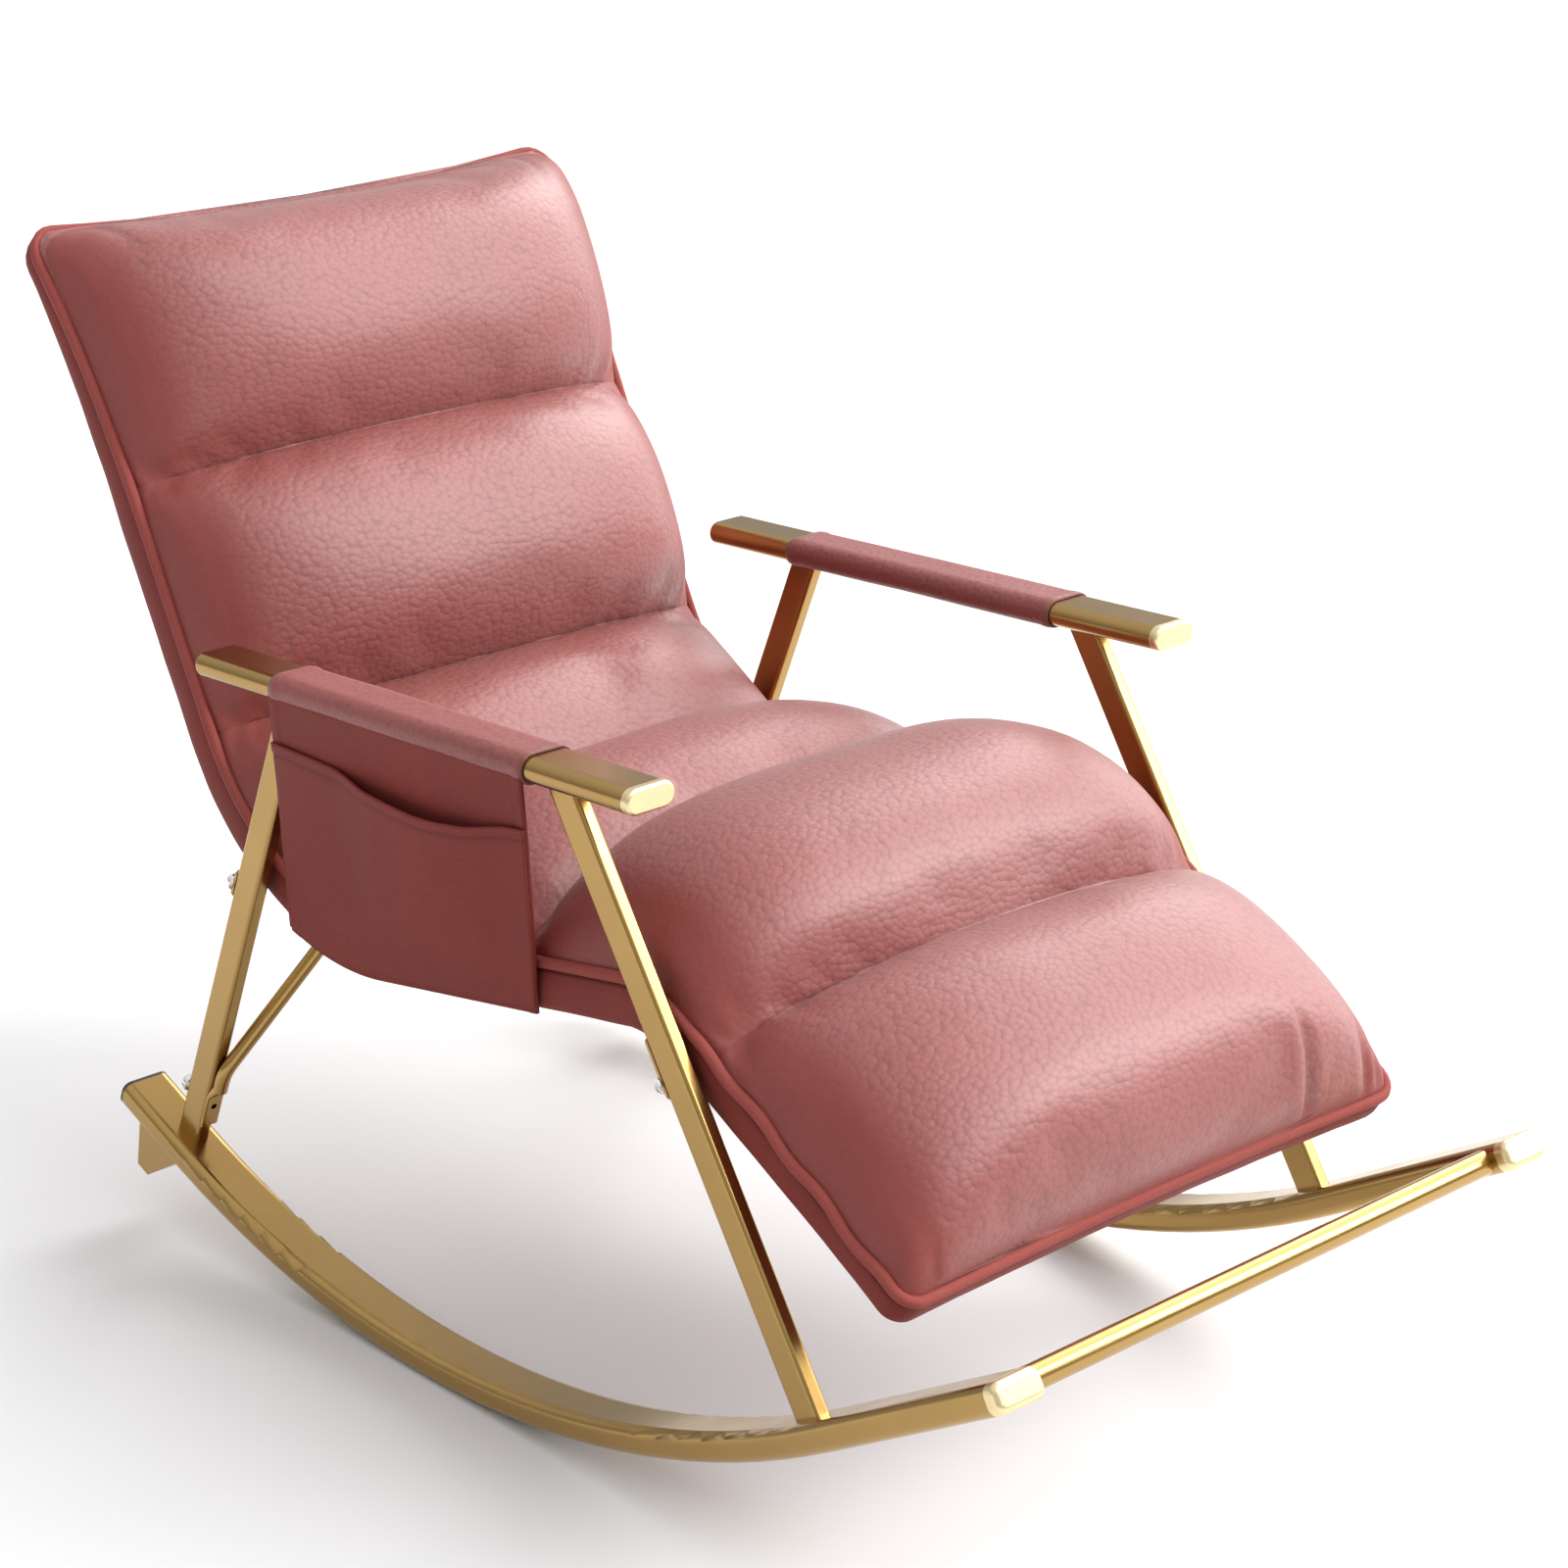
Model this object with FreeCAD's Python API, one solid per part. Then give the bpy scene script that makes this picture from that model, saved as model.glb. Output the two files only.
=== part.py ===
import FreeCAD, Part
import math
import os

# Rocking lounge chair on two curved runners.
# Millimetres. +Z is up and the sitter faces -Y, so the sitter's right hand is at -X.
# The side frames are flat metal tube; the seat is one bent lounge between them.

# Side frames
FRAME_HALF_SPACING = 300.0  # middle of the chair to the middle plane of a side frame
TUBE_WALL = 1.5

# Runners: an arc that touches the floor, with a straight end at the front and at the rear
RUNNER_WIDTH = 50.0
RUNNER_THICK = 26.0
RUNNER_CORNER = 9.0
RUNNER_RADIUS = 1018.0  # of the underside
RUNNER_CENTRE_Y = 64.0
RUNNER_FRONT_ARC = 30.5  # degrees of arc ahead of the lowest point
RUNNER_REAR_ARC = 22.4
RUNNER_FRONT_STRAIGHT = 207.0
RUNNER_REAR_STRAIGHT = 72.0

# Legs: where their middle lines meet the middle lines of the runner and the armrest
LEG_DEPTH = 30.0
LEG_WIDTH = 15.0
LEG_CORNER = 4.0
FRONT_LEG_FOOT_Y = -421.0
FRONT_LEG_TOP_Y = -118.0
REAR_LEG_FOOT_Y = 440.0
REAR_LEG_TOP_Y = 232.0

# Armrests
ARM_WIDTH = 50.0
ARM_THICK = 22.0
ARM_FRONT_Y = -222.0
ARM_REAR_Y = 345.0
ARM_FRONT_HEIGHT = 612.0  # middle line at the front end
ARM_FALL = 2.9  # degrees, falling to the rear

# Caps that close the tube ends
ARM_CAP_LENGTH = 8.0
ARM_CAP_EDGE = 3.0
RUNNER_CAP_LENGTH = 13.0
RUNNER_CAP_EDGE = 6.0
REAR_CAP_LENGTH = 4.0
REAR_CAP_EDGE = 1.5
CAP_PLUG_LENGTH = 14.0
PLUG_CLEARANCE = 0.2

# Stop block under each runner's rear end
STOP_WIDTH = 44.0
STOP_SETBACK = 28.0  # from the runner's rear end
STOP_LENGTH = 61.0
STOP_DEPTH = 43.0
STOP_LEAN = 10.0
STOP_SOLE = 17.0

# Cross members of the base
CROSSBAR_DIAMETER = 22.0
CROSSBAR_WALL = 3.0
CROSSBAR_SETBACK = 16.0  # behind the front end of the runner tube
BRACE_DIAMETER = 14.0
BRACE_TAB_THICK = 4.0
BRACE_TAB_CORNER = 1.5
BRACE_TAB_FIT = 0.6  # how much less the flat end's swell measures than the tube it runs into
BRACE_TAB_WIDTH = 18.0
BRACE_TAB_LENGTH = 50.0
BRACE_TAB_FOOT = 26.0  # from the foot of the rear leg to the start of the flat end
BRACE_BAR_HALF = 208.0
BRACE_RISE = 218.0  # flat end's foot to the level bar, along the leg
BRACE_BEND = 40.0

# Bolts
BOLT_DIAMETER = 6.0
BOLT_HEAD_DIAMETER = 13.0
BOLT_HEAD_HEIGHT = 5.5
BOLT_HOLE_CLEARANCE = 0.4
NUT_WIDTH = 10.0
NUT_HEIGHT = 5.0
SEAT_BOLT_REAR_DROP = 17.5  # along the leg, from the carrier's middle down to the bolt
SEAT_BOLT_FRONT_DROP = 40.0
BRACE_BOLT_RISE = 24.0  # above the start of the brace's flat end
HANGER_THICK = 3.0
HANGER_WIDTH = 26.0
HANGER_TOP_DROP = 1.0  # its upper edge lies this far below the carrier's middle

# Seat line: the welted edge of the lounge seen from the side, from the head to the foot
BEND_Y = 194.0
SEAT_LOW_HEIGHT = 379.0
BACK_LENGTH = 468.0
BACK_SLOPE = 62.6  # degrees from level
BEND_RADIUS = 225.0
SEAT_SLOPE = 10.0  # degrees, rising to the knee
SEAT_LENGTH = 324.0
KNEE_RADIUS = 120.0
CALF_SLOPE = 30.0
CALF_LENGTH = 300.0

# Outline of the lounge seen square on
SEAT_SIDE_CLEARANCE = 7.5  # from the side of the seat to the legs
SEAT_HALF_WIDTH = FRAME_HALF_SPACING - LEG_WIDTH / 2 - SEAT_SIDE_CLEARANCE
HEAD_FLARE_LENGTH = 300.0
HEAD_FLARE_RADIUS = 2500.0
FOOT_FLARE_RADIUS = 7500.0
HEAD_CORNER = 26.0
FOOT_CORNER = 20.0
HEAD_SWEEP = 5.0  # degrees that the top edge dips from each corner
FOOT_SWEEP = 2.0

# Shell under the seat line
HEAD_SHELL_DEPTH = 26.0
SHELL_DEPTH = 45.0
FOOT_SHELL_DEPTH = 23.0
HEAD_TAPER_LENGTH = 260.0
SHELL_WALL = 3.0
WELT_DIAMETER = 11.0
WELT_INSET = 1.0
SOFT_GAP = 0.3
DECK_THICK = 2.0

# Seat frame inside the shell
RAIL_WIDTH = 30.0
RAIL_THICK = 15.0
RAIL_DROP = 12.2
RAIL_END_SETBACK = 14.0
RAIL_SIDE_GAP = 0.5
CROSS_TUBE_DIAMETER = 15.0
CROSS_TUBE_SETBACK = 32.0
BACK_TUBE_PLACE = 330.0
CARRIER_DIAMETER = 19.0
CARRIER_WALL = 2.0
WELD_SINK = 0.6  # depth to which a plate is set into a tube
STRAP_WIDTH = 50.0
STRAP_THICK = 1.8
STRAP_COUNT = 14

# Cushion: six stuffed channels of one cover, from the head to the foot
CHANNEL_ENDS = (0.0, 238.0, 470.0, 708.0, 946.0, 1201.0)
CREST_HEIGHTS = (104.0, 106.0, 108.0, 112.0, 112.0, 106.0)
CREASE_HEIGHT = 58.0
EDGE_HEIGHT = 6.0
CREASE_DRAW_IN = 5.0  # the sides pull in at each crease

# Leather sleeves on the armrests, and the pocket under the right one
SLEEVE_FRONT_Y = -102.0
SLEEVE_REAR_Y = 240.0
SLEEVE_THICK = 2.2
PANEL_THICK = 2.2
PANEL_TOP_INSET = 3.0
PANEL_FRONT_PLACE = 971.0  # places on the seat line where the panel's lower edge ends
PANEL_REAR_PLACE = 644.0
POUCH_THICK = 2.0
POUCH_HEM = 0.02
POUCH_GAPE = 11.0
POUCH_MOUTH_HEIGHT = 543.0
POUCH_MOUTH_DIP = 22.0
POUCH_MOUTH_REAR_Y = 156.0
POUCH_FRONT_INSET = 18.0

SIDES = (("left", 1), ("right", -1))
REACH = 400.0  # further than any part of the seat from the middle plane
ACROSS = FreeCAD.Vector(1, 0, 0)


def point(x, y, z):
    return FreeCAD.Vector(x, y, z)


def line(a, b):
    return Part.LineSegment(a, b).toShape()


def arc(a, b, c):
    return Part.Arc(a, b, c).toShape()


def fused(shapes):
    first, *others = shapes
    return first.multiFuse(others).removeSplitter() if others else first


def rounded_wire(centre, across, up, width, height, corner):
    """Rounded rectangle about a centre; with a corner of half the height it is a flat oval."""
    a, b = width / 2.0, height / 2.0
    r = min(corner, a, b)
    k = r * (1 - math.sqrt(0.5))
    edges = []
    for sx, sz in ((1, 1), (-1, 1), (-1, -1), (1, -1)):
        start, end = (a, b - r), (a - r, b)
        if sx * sz < 0:
            start, end = end, start
        spots = [start, (a - k, b - k), end]
        edges.append(arc(*[centre + across * (sx * u) + up * (sz * v) for u, v in spots]))
    corners = [(e.Vertexes[0].Point, e.Vertexes[1].Point) for e in edges]
    for i in range(4):
        a_end, b_start = corners[i][1], corners[(i + 1) % 4][0]
        if a_end.distanceToPoint(b_start) > 1e-6:
            edges.append(line(a_end, b_start))
    return Part.Wire(Part.__sortEdges__(edges))


def section(centre, across, up, width, height, corner, wall=0.0):
    """Face of a bar, or of a tube when a wall is given."""
    face = Part.Face(rounded_wire(centre, across, up, width, height, corner))
    if wall <= 0:
        return face
    inner = rounded_wire(centre, across, up, width - 2 * wall, height - 2 * wall, corner - wall)
    return face.cut(Part.Face(inner)).Faces[0]


def rod(a, b, diameter):
    return Part.makeCylinder(diameter / 2.0, a.distanceToPoint(b), a, b - a)


def pipe(a, b, diameter, wall):
    return rod(a, b, diameter).cut(rod(a, b, diameter - 2 * wall))


def runner_point(angle, depth):
    """Point of the side view, by degrees ahead of the lowest point and depth above the underside."""
    t = math.radians(angle)
    r = RUNNER_RADIUS - depth
    return point(0, RUNNER_CENTRE_Y - r * math.sin(t), RUNNER_RADIUS - r * math.cos(t))


def runner_heading(angle):
    t = math.radians(angle)
    return point(0, -math.cos(t), math.sin(t)), point(0, math.sin(t), math.cos(t))


def runner_solid(side, wall=0.0):
    """Arc with its two straight ends."""
    x = side * FRAME_HALF_SPACING
    rear = runner_point(-RUNNER_REAR_ARC, RUNNER_THICK / 2)
    front = runner_point(RUNNER_FRONT_ARC, RUNNER_THICK / 2)
    shift = point(x, 0, 0)
    rear_ahead, rear_up = runner_heading(-RUNNER_REAR_ARC)
    front_ahead, front_up = runner_heading(RUNNER_FRONT_ARC)
    size = (RUNNER_WIDTH, RUNNER_THICK, RUNNER_CORNER, wall)
    rear_face = section(rear + shift, ACROSS, rear_up, *size)
    front_face = section(front + shift, ACROSS, front_up, *size)
    centre = point(x, RUNNER_CENTRE_Y, RUNNER_RADIUS)
    bend = rear_face.revolve(centre, point(-1, 0, 0), RUNNER_REAR_ARC + RUNNER_FRONT_ARC)
    return fused([
        bend,
        rear_face.extrude(rear_ahead * -RUNNER_REAR_STRAIGHT),
        front_face.extrude(front_ahead * RUNNER_FRONT_STRAIGHT),
    ])


def runner_middle(y):
    """Height of the runner's middle line over the arc."""
    r = RUNNER_RADIUS - RUNNER_THICK / 2
    return RUNNER_RADIUS - math.sqrt(r * r - (y - RUNNER_CENTRE_Y) ** 2)


def runner_ends():
    """Middle of each open end of the runner, with the way out of it."""
    rear_ahead, _ = runner_heading(-RUNNER_REAR_ARC)
    front_ahead, _ = runner_heading(RUNNER_FRONT_ARC)
    rear = runner_point(-RUNNER_REAR_ARC, RUNNER_THICK / 2) - rear_ahead * RUNNER_REAR_STRAIGHT
    front = runner_point(RUNNER_FRONT_ARC, RUNNER_THICK / 2) + front_ahead * RUNNER_FRONT_STRAIGHT
    return (rear, rear_ahead * -1), (front, front_ahead)


def arm_height(y):
    """Height of the armrest's middle line."""
    return ARM_FRONT_HEIGHT - (y - ARM_FRONT_Y) * math.tan(math.radians(ARM_FALL))


def arm_bar(side, start_y, end_y, width, thick, wall=0.0):
    x = side * FRAME_HALF_SPACING
    a = point(x, start_y, arm_height(start_y))
    b = point(x, end_y, arm_height(end_y))
    up = ACROSS.cross((b - a).normalize())
    return section(a, ACROSS, up, width, thick, thick / 2, wall).extrude(b - a)


def armrest_tube(side):
    return arm_bar(side, ARM_FRONT_Y, ARM_REAR_Y, ARM_WIDTH, ARM_THICK, TUBE_WALL)


def leg_line(which):
    """Foot and top of a leg's middle line in the side view."""
    foot_y, top_y = {
        "front": (FRONT_LEG_FOOT_Y, FRONT_LEG_TOP_Y),
        "rear": (REAR_LEG_FOOT_Y, REAR_LEG_TOP_Y),
    }[which]
    return point(0, foot_y, runner_middle(foot_y)), point(0, top_y, arm_height(top_y))


def leg_axes(which):
    """Way up the leg, and the way out of its rear face."""
    foot, top = leg_line(which)
    up = (top - foot).normalize()
    return up, point(0, up.z, -up.y)


def leg_blank(which, side, wall=0.0, grow=0.0):
    """Leg before it is cut; it may be a tube, or a little larger all round."""
    x = point(side * FRAME_HALF_SPACING, 0, 0)
    foot, top = leg_line(which)
    _, back = leg_axes(which)
    size = (LEG_WIDTH + 2 * grow, LEG_DEPTH + 2 * grow, LEG_CORNER + grow)
    return section(foot + x, ACROSS, back, *size, wall).extrude(top - foot)


def leg(which, side):
    """Tube leg, cut to the runner and to the armrest, with its bolt holes."""
    body = leg_blank(which, side, TUBE_WALL)
    body = body.cut(runner_solid(side))
    body = body.cut(arm_bar(side, ARM_FRONT_Y, ARM_REAR_Y, ARM_WIDTH, ARM_THICK))
    hole = BOLT_DIAMETER + BOLT_HOLE_CLEARANCE
    _, back = leg_axes(which)
    spot = seat_bolt_spot(which, side)
    body = body.cut(rod(spot, spot + back * LEG_DEPTH, hole))
    if which == "rear":
        spot = brace_bolt_spot(side)
        body = body.cut(rod(spot - back * LEG_DEPTH, spot + back * LEG_DEPTH, hole))
    return max(body.Solids, key=lambda s: s.Volume)


def seat_bolt_spot(which, side):
    """Bolt axis where it crosses the leg's middle line, a little below the carrier."""
    drop = {"front": SEAT_BOLT_FRONT_DROP, "rear": SEAT_BOLT_REAR_DROP}[which]
    foot, _ = leg_line(which)
    up, _ = leg_axes(which)
    return foot + up * (carrier_rise(which) - drop) + point(side * FRAME_HALF_SPACING, 0, 0)


def rear_leg_foot(side):
    """Where the rear leg's middle line comes out of the runner."""
    foot, _ = leg_line("rear")
    up, _ = leg_axes("rear")
    return foot + up * (RUNNER_THICK / 2) + point(side * FRAME_HALF_SPACING, 0, 0)


def brace_bolt_spot(side):
    up, _ = leg_axes("rear")
    return rear_leg_foot(side) + up * (BRACE_TAB_FOOT + BRACE_BOLT_RISE)


def end_cap(centre, outward, width, height, corner, length, edge, wall):
    """Cap with rounded edges outside and a plug that fits the tube's bore."""
    up = ACROSS.cross(outward)
    cap = section(centre, ACROSS, up, width, height, corner).extrude(outward * length)
    far = centre + outward * length
    rim = [e for e in cap.Edges if all(abs((v.Point - far).dot(outward)) < 1e-4 for v in e.Vertexes)]
    cap = cap.makeFillet(edge, rim)
    shrink = 2 * (wall + PLUG_CLEARANCE)
    inner = max(corner - wall - PLUG_CLEARANCE, 1.0)
    plug = section(centre, ACROSS, up, width - shrink, height - shrink, inner)
    return fused([cap, plug.extrude(outward * -CAP_PLUG_LENGTH)])


def armrest_cap(end, side):
    y, other = {"front": (ARM_FRONT_Y, ARM_REAR_Y), "rear": (ARM_REAR_Y, ARM_FRONT_Y)}[end]
    x = side * FRAME_HALF_SPACING
    centre = point(x, y, arm_height(y))
    outward = (centre - point(x, other, arm_height(other))).normalize()
    size = (ARM_WIDTH, ARM_THICK, ARM_THICK / 2)
    return end_cap(centre, outward, *size, ARM_CAP_LENGTH, ARM_CAP_EDGE, TUBE_WALL)


def runner_cap(end, side):
    rear, front = runner_ends()
    (centre, outward), length, edge = {
        "front": (front, RUNNER_CAP_LENGTH, RUNNER_CAP_EDGE),
        "rear": (rear, REAR_CAP_LENGTH, REAR_CAP_EDGE),
    }[end]
    centre = centre + point(side * FRAME_HALF_SPACING, 0, 0)
    return end_cap(centre, outward, RUNNER_WIDTH, RUNNER_THICK, RUNNER_CORNER, length, edge, TUBE_WALL)


def stop_block(side):
    """Wedge under the runner's rear end that meets the floor when the chair rocks far back."""
    (end, outward), _ = runner_ends()
    down = outward.cross(ACROSS) * -1
    if down.z > 0:
        down = down * -1
    heel = STOP_SETBACK + STOP_LEAN
    sole = heel + STOP_SOLE
    toe = STOP_SETBACK + STOP_LENGTH
    spots = []
    for back, deep in ((STOP_SETBACK, -2.0), (heel, STOP_DEPTH), (sole, STOP_DEPTH), (toe, -2.0)):
        spots.append(end - outward * back + down * (RUNNER_THICK / 2 + deep))
    shift = point(side * FRAME_HALF_SPACING - STOP_WIDTH / 2, 0, 0)
    face = Part.Face(Part.makePolygon([p + shift for p in spots + spots[:1]]))
    block = face.extrude(ACROSS * STOP_WIDTH).cut(runner_solid(side))
    return max(block.Solids, key=lambda s: s.Volume)


def front_crossbar():
    """Round tube between the front ends of the two runners, cut to their sides."""
    _, (end, outward) = runner_ends()
    middle = end - outward * CROSSBAR_SETBACK
    half = FRAME_HALF_SPACING
    bar = pipe(middle - ACROSS * half, middle + ACROSS * half, CROSSBAR_DIAMETER, CROSSBAR_WALL)
    for _, side in SIDES:
        bar = bar.cut(runner_solid(side))
    return max(bar.Solids, key=lambda s: s.Volume)


def bent_path(spots, radius):
    """Straight runs joined by tangent arcs."""
    edges = []
    start = spots[0]
    for before, corner, after in zip(spots, spots[1:], spots[2:]):
        into = (corner - before).normalize()
        out = (after - corner).normalize()
        turn = into.getAngle(out)
        cut = radius * math.tan(turn / 2)
        a, b = corner - into * cut, corner + out * cut
        inward = (out - into).normalize()
        middle = corner + inward * (radius / math.cos(turn / 2) - radius)
        edges += [line(start, a), arc(a, middle, b)]
        start = b
    edges.append(line(start, spots[-1]))
    return Part.Wire(edges)


def brace_spots():
    """Corners of the brace's middle line, from the right rear leg over to the left one."""
    up, back = leg_axes("rear")
    ahead = back * -1
    lay = ahead * (LEG_DEPTH / 2 + BRACE_DIAMETER / 2)
    foot = rear_leg_foot(0) + up * (BRACE_TAB_FOOT + BRACE_TAB_LENGTH) + lay
    bar = rear_leg_foot(0) + up * (BRACE_TAB_FOOT + BRACE_RISE) + lay
    out = FRAME_HALF_SPACING
    return [
        foot - ACROSS * out,
        foot + up * (BRACE_BEND / 2) - ACROSS * out,
        bar - ACROSS * BRACE_BAR_HALF,
        bar + ACROSS * BRACE_BAR_HALF,
        foot + up * (BRACE_BEND / 2) + ACROSS * out,
        foot + ACROSS * out,
    ]


def rear_brace():
    """Arched round tube with flat ends that are bolted to the front of the rear legs."""
    up, back = leg_axes("rear")
    ahead = back * -1
    spots = brace_spots()
    spots[0] = spots[0] - up * 2.0
    spots[-1] = spots[-1] - up * 2.0
    path = bent_path(spots, BRACE_BEND)
    outer = Part.Wire(Part.makeCircle(BRACE_DIAMETER / 2, spots[0], up))
    inner = Part.Wire(Part.makeCircle(BRACE_DIAMETER / 2 - TUBE_WALL, spots[0], up))
    tube = path.makePipeShell([outer], True, False).cut(path.makePipeShell([inner], True, False))
    pieces = [tube]
    for _, side in SIDES:
        face_point = rear_leg_foot(side) + up * BRACE_TAB_FOOT + ahead * (LEG_DEPTH / 2)
        pieces.append(brace_tab(face_point, up, ahead))
    body = fused(pieces)
    for _, side in SIDES:
        spot = brace_bolt_spot(side)
        body = body.cut(rod(spot, spot + ahead * LEG_DEPTH, BOLT_DIAMETER))
    return body


def brace_tab(foot, up, ahead):
    """Flattened tube end that swells into the round tube."""
    middle = foot + ahead * (BRACE_TAB_THICK / 2)
    flat = (BRACE_TAB_WIDTH, BRACE_TAB_THICK, BRACE_TAB_CORNER)
    run = BRACE_TAB_LENGTH * 0.72
    plate = section(middle, ACROSS, ahead, *flat).extrude(up * run)
    lower = rounded_wire(middle + up * run, ACROSS, ahead, *flat)
    round_centre = foot + ahead * (BRACE_DIAMETER / 2) + up * BRACE_TAB_LENGTH
    size = BRACE_DIAMETER - BRACE_TAB_FIT
    upper = rounded_wire(round_centre, ACROSS, ahead, size, size, size / 2 - BRACE_TAB_FIT)
    return fused([plate, Part.makeLoft([lower, upper], True, True)])


class SeatLine:
    """Side view of the welted edge: back, bend, seat, knee and calf in order.

    A place along it is its distance from the head end; a height above it is towards the sitter.
    """

    def __init__(self):
        back = math.radians(180 + BACK_SLOPE)
        seat = math.radians(180 - SEAT_SLOPE)
        calf = math.radians(180 + CALF_SLOPE)
        centre = point(0, BEND_Y, SEAT_LOW_HEIGHT + BEND_RADIUS)
        start = centre - self.normal(back) * BEND_RADIUS - self.heading(back) * BACK_LENGTH
        self.pieces = []
        self.length = 0.0
        self.end, self.angle = start, back
        self.add_run(BACK_LENGTH)
        self.add_bend(BEND_RADIUS, seat)
        self.add_run(SEAT_LENGTH)
        self.add_bend(-KNEE_RADIUS, calf)
        self.add_run(CALF_LENGTH)

    @staticmethod
    def heading(angle):
        return point(0, math.cos(angle), math.sin(angle))

    @staticmethod
    def normal(angle):
        return point(0, math.sin(angle), -math.cos(angle))

    def add_run(self, length):
        self.pieces.append((self.length, self.length + length, self.end, self.angle, 0.0))
        self.end = self.end + self.heading(self.angle) * length
        self.length += length

    def add_bend(self, radius, angle):
        """A positive radius bends towards the sitter."""
        length = abs(radius * (angle - self.angle))
        self.pieces.append((self.length, self.length + length, self.end, self.angle, radius))
        centre = self.end + self.normal(self.angle) * radius
        self.end = centre - self.normal(angle) * radius
        self.angle = angle
        self.length += length

    def piece(self, place):
        for found in self.pieces:
            if place <= found[1]:
                return found
        return self.pieces[-1]

    def frame(self, place):
        """Point of the line, with its heading and its normal."""
        start, _, origin, angle, radius = self.piece(place)
        if not radius:
            return origin + self.heading(angle) * (place - start), self.heading(angle), self.normal(angle)
        turned = angle - (place - start) / radius
        centre = origin + self.normal(angle) * radius
        return centre - self.normal(turned) * radius, self.heading(turned), self.normal(turned)

    def spot(self, place, height, x=0.0):
        origin, _, normal = self.frame(place)
        return origin + normal * height + ACROSS * x

    def curve(self, start, end, height, breaks=()):
        """Edges of the line at a height, which may vary along the straight runs."""
        edges = []
        for low, high, _, _, radius in self.pieces:
            low = start if low == 0 else low
            high = end if high == self.length else high
            a, b = max(low, start), min(high, end)
            if b - a < 1e-6:
                continue
            stops = [a] + [s for s in breaks if a < s < b and not radius] + [b]
            for u, v in zip(stops, stops[1:]):
                spots = [self.spot(s, height(s)) for s in (u, (u + v) / 2, v)]
                edges.append(arc(*spots) if radius else line(spots[0], spots[2]))
        return edges

    def strip(self, start, end, low, high, half_width, breaks=()):
        """Slab between two heights, as wide as twice the half width."""
        upper = self.curve(start, end, high, breaks)
        lower = self.curve(start, end, low, breaks)
        ends = [line(self.spot(s, low(s)), self.spot(s, high(s))) for s in (start, end)]
        wire = Part.Wire(Part.__sortEdges__(upper + lower + ends))
        face = Part.Face(wire)
        face.translate(ACROSS * -half_width)
        return face.extrude(ACROSS * (2 * half_width))


LINE = SeatLine()
KNEE_END = LINE.pieces[3][1]


def level(height):
    return lambda place: height


def shell_depth(place):
    """Depth of the shell under the seat line."""
    if place < HEAD_TAPER_LENGTH:
        share = place / HEAD_TAPER_LENGTH
        return HEAD_SHELL_DEPTH + (SHELL_DEPTH - HEAD_SHELL_DEPTH) * share
    if place > KNEE_END:
        share = (place - KNEE_END) / (LINE.length - KNEE_END)
        return SHELL_DEPTH + (FOOT_SHELL_DEPTH - SHELL_DEPTH) * share
    return SHELL_DEPTH


def end_shape(end, inset):
    """Joining place, end place, flare radius, corner radius and sweep of one end's outline."""
    if end == "head":
        return HEAD_FLARE_LENGTH, inset, HEAD_FLARE_RADIUS + inset, HEAD_CORNER - inset, HEAD_SWEEP
    return KNEE_END, LINE.length - inset, FOOT_FLARE_RADIUS + inset, FOOT_CORNER - inset, FOOT_SWEEP


def end_corners(end, inset):
    """Points of the right half of an end's outline, as distance from the middle and place.

    The flare is an arc tangent to the straight side, the corner an arc tangent to the flare.
    """
    join, finish, flare, radius, sweep = end_shape(end, inset)
    near = SEAT_HALF_WIDTH - inset
    way = 1.0 if finish > join else -1.0
    turn = math.asin((abs(finish - join) - radius) / (flare + radius))
    bend = math.radians(sweep)

    def flared(angle):
        return point(near + flare * (1 - math.cos(angle)), join + way * flare * math.sin(angle), 0)

    a = flared(turn)
    out_a = point(math.cos(turn), -way * math.sin(turn), 0)
    out_b = point(-math.sin(bend), way * math.cos(bend), 0)
    centre = a - out_a * radius
    b = centre + out_b * radius
    middle = centre + (out_a + out_b).normalize() * radius
    dip = point(0, b.y - way * b.x * math.tan(bend / 2), 0)
    return flared(0.0), flared(turn / 2), a, middle, b, dip


def end_edges(end, inset, height):
    """Outline of one end as edges, from one joining point round to the other."""
    def put(p, side):
        return LINE.spot(p.y, height, side * p.x)

    start, flare, a, middle, b, dip = end_corners(end, inset)
    return [
        arc(put(start, 1), put(flare, 1), put(a, 1)),
        arc(put(a, 1), put(middle, 1), put(b, 1)),
        arc(put(b, 1), put(dip, 1), put(b, -1)),
        arc(put(b, -1), put(middle, -1), put(a, -1)),
        arc(put(a, -1), put(flare, -1), put(start, -1)),
    ]


def end_prism(end, inset):
    """Everything inside one end's outline, through the whole thickness of the seat."""
    deep = -REACH / 2
    edges = end_edges(end, inset, deep)
    edges.append(line(edges[-1].Vertexes[-1].Point, edges[0].Vertexes[0].Point))
    join = end_shape(end, inset)[0]
    face = Part.Face(Part.Wire(Part.__sortEdges__(edges)))
    return face.extrude(LINE.frame(join)[2] * REACH)


def seat_slab(inset, low, high):
    """Slab that follows the seat line, with the outline's flares and round corners."""
    breaks = (HEAD_TAPER_LENGTH,)
    head = LINE.strip(-REACH / 10, HEAD_FLARE_LENGTH, low, high, REACH, breaks)
    middle = LINE.strip(HEAD_FLARE_LENGTH, KNEE_END, low, high, SEAT_HALF_WIDTH - inset, breaks)
    foot = LINE.strip(KNEE_END, LINE.length + REACH / 10, low, high, REACH, breaks)
    return fused([head.common(end_prism("head", inset)), middle, foot.common(end_prism("foot", inset))])


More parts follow.
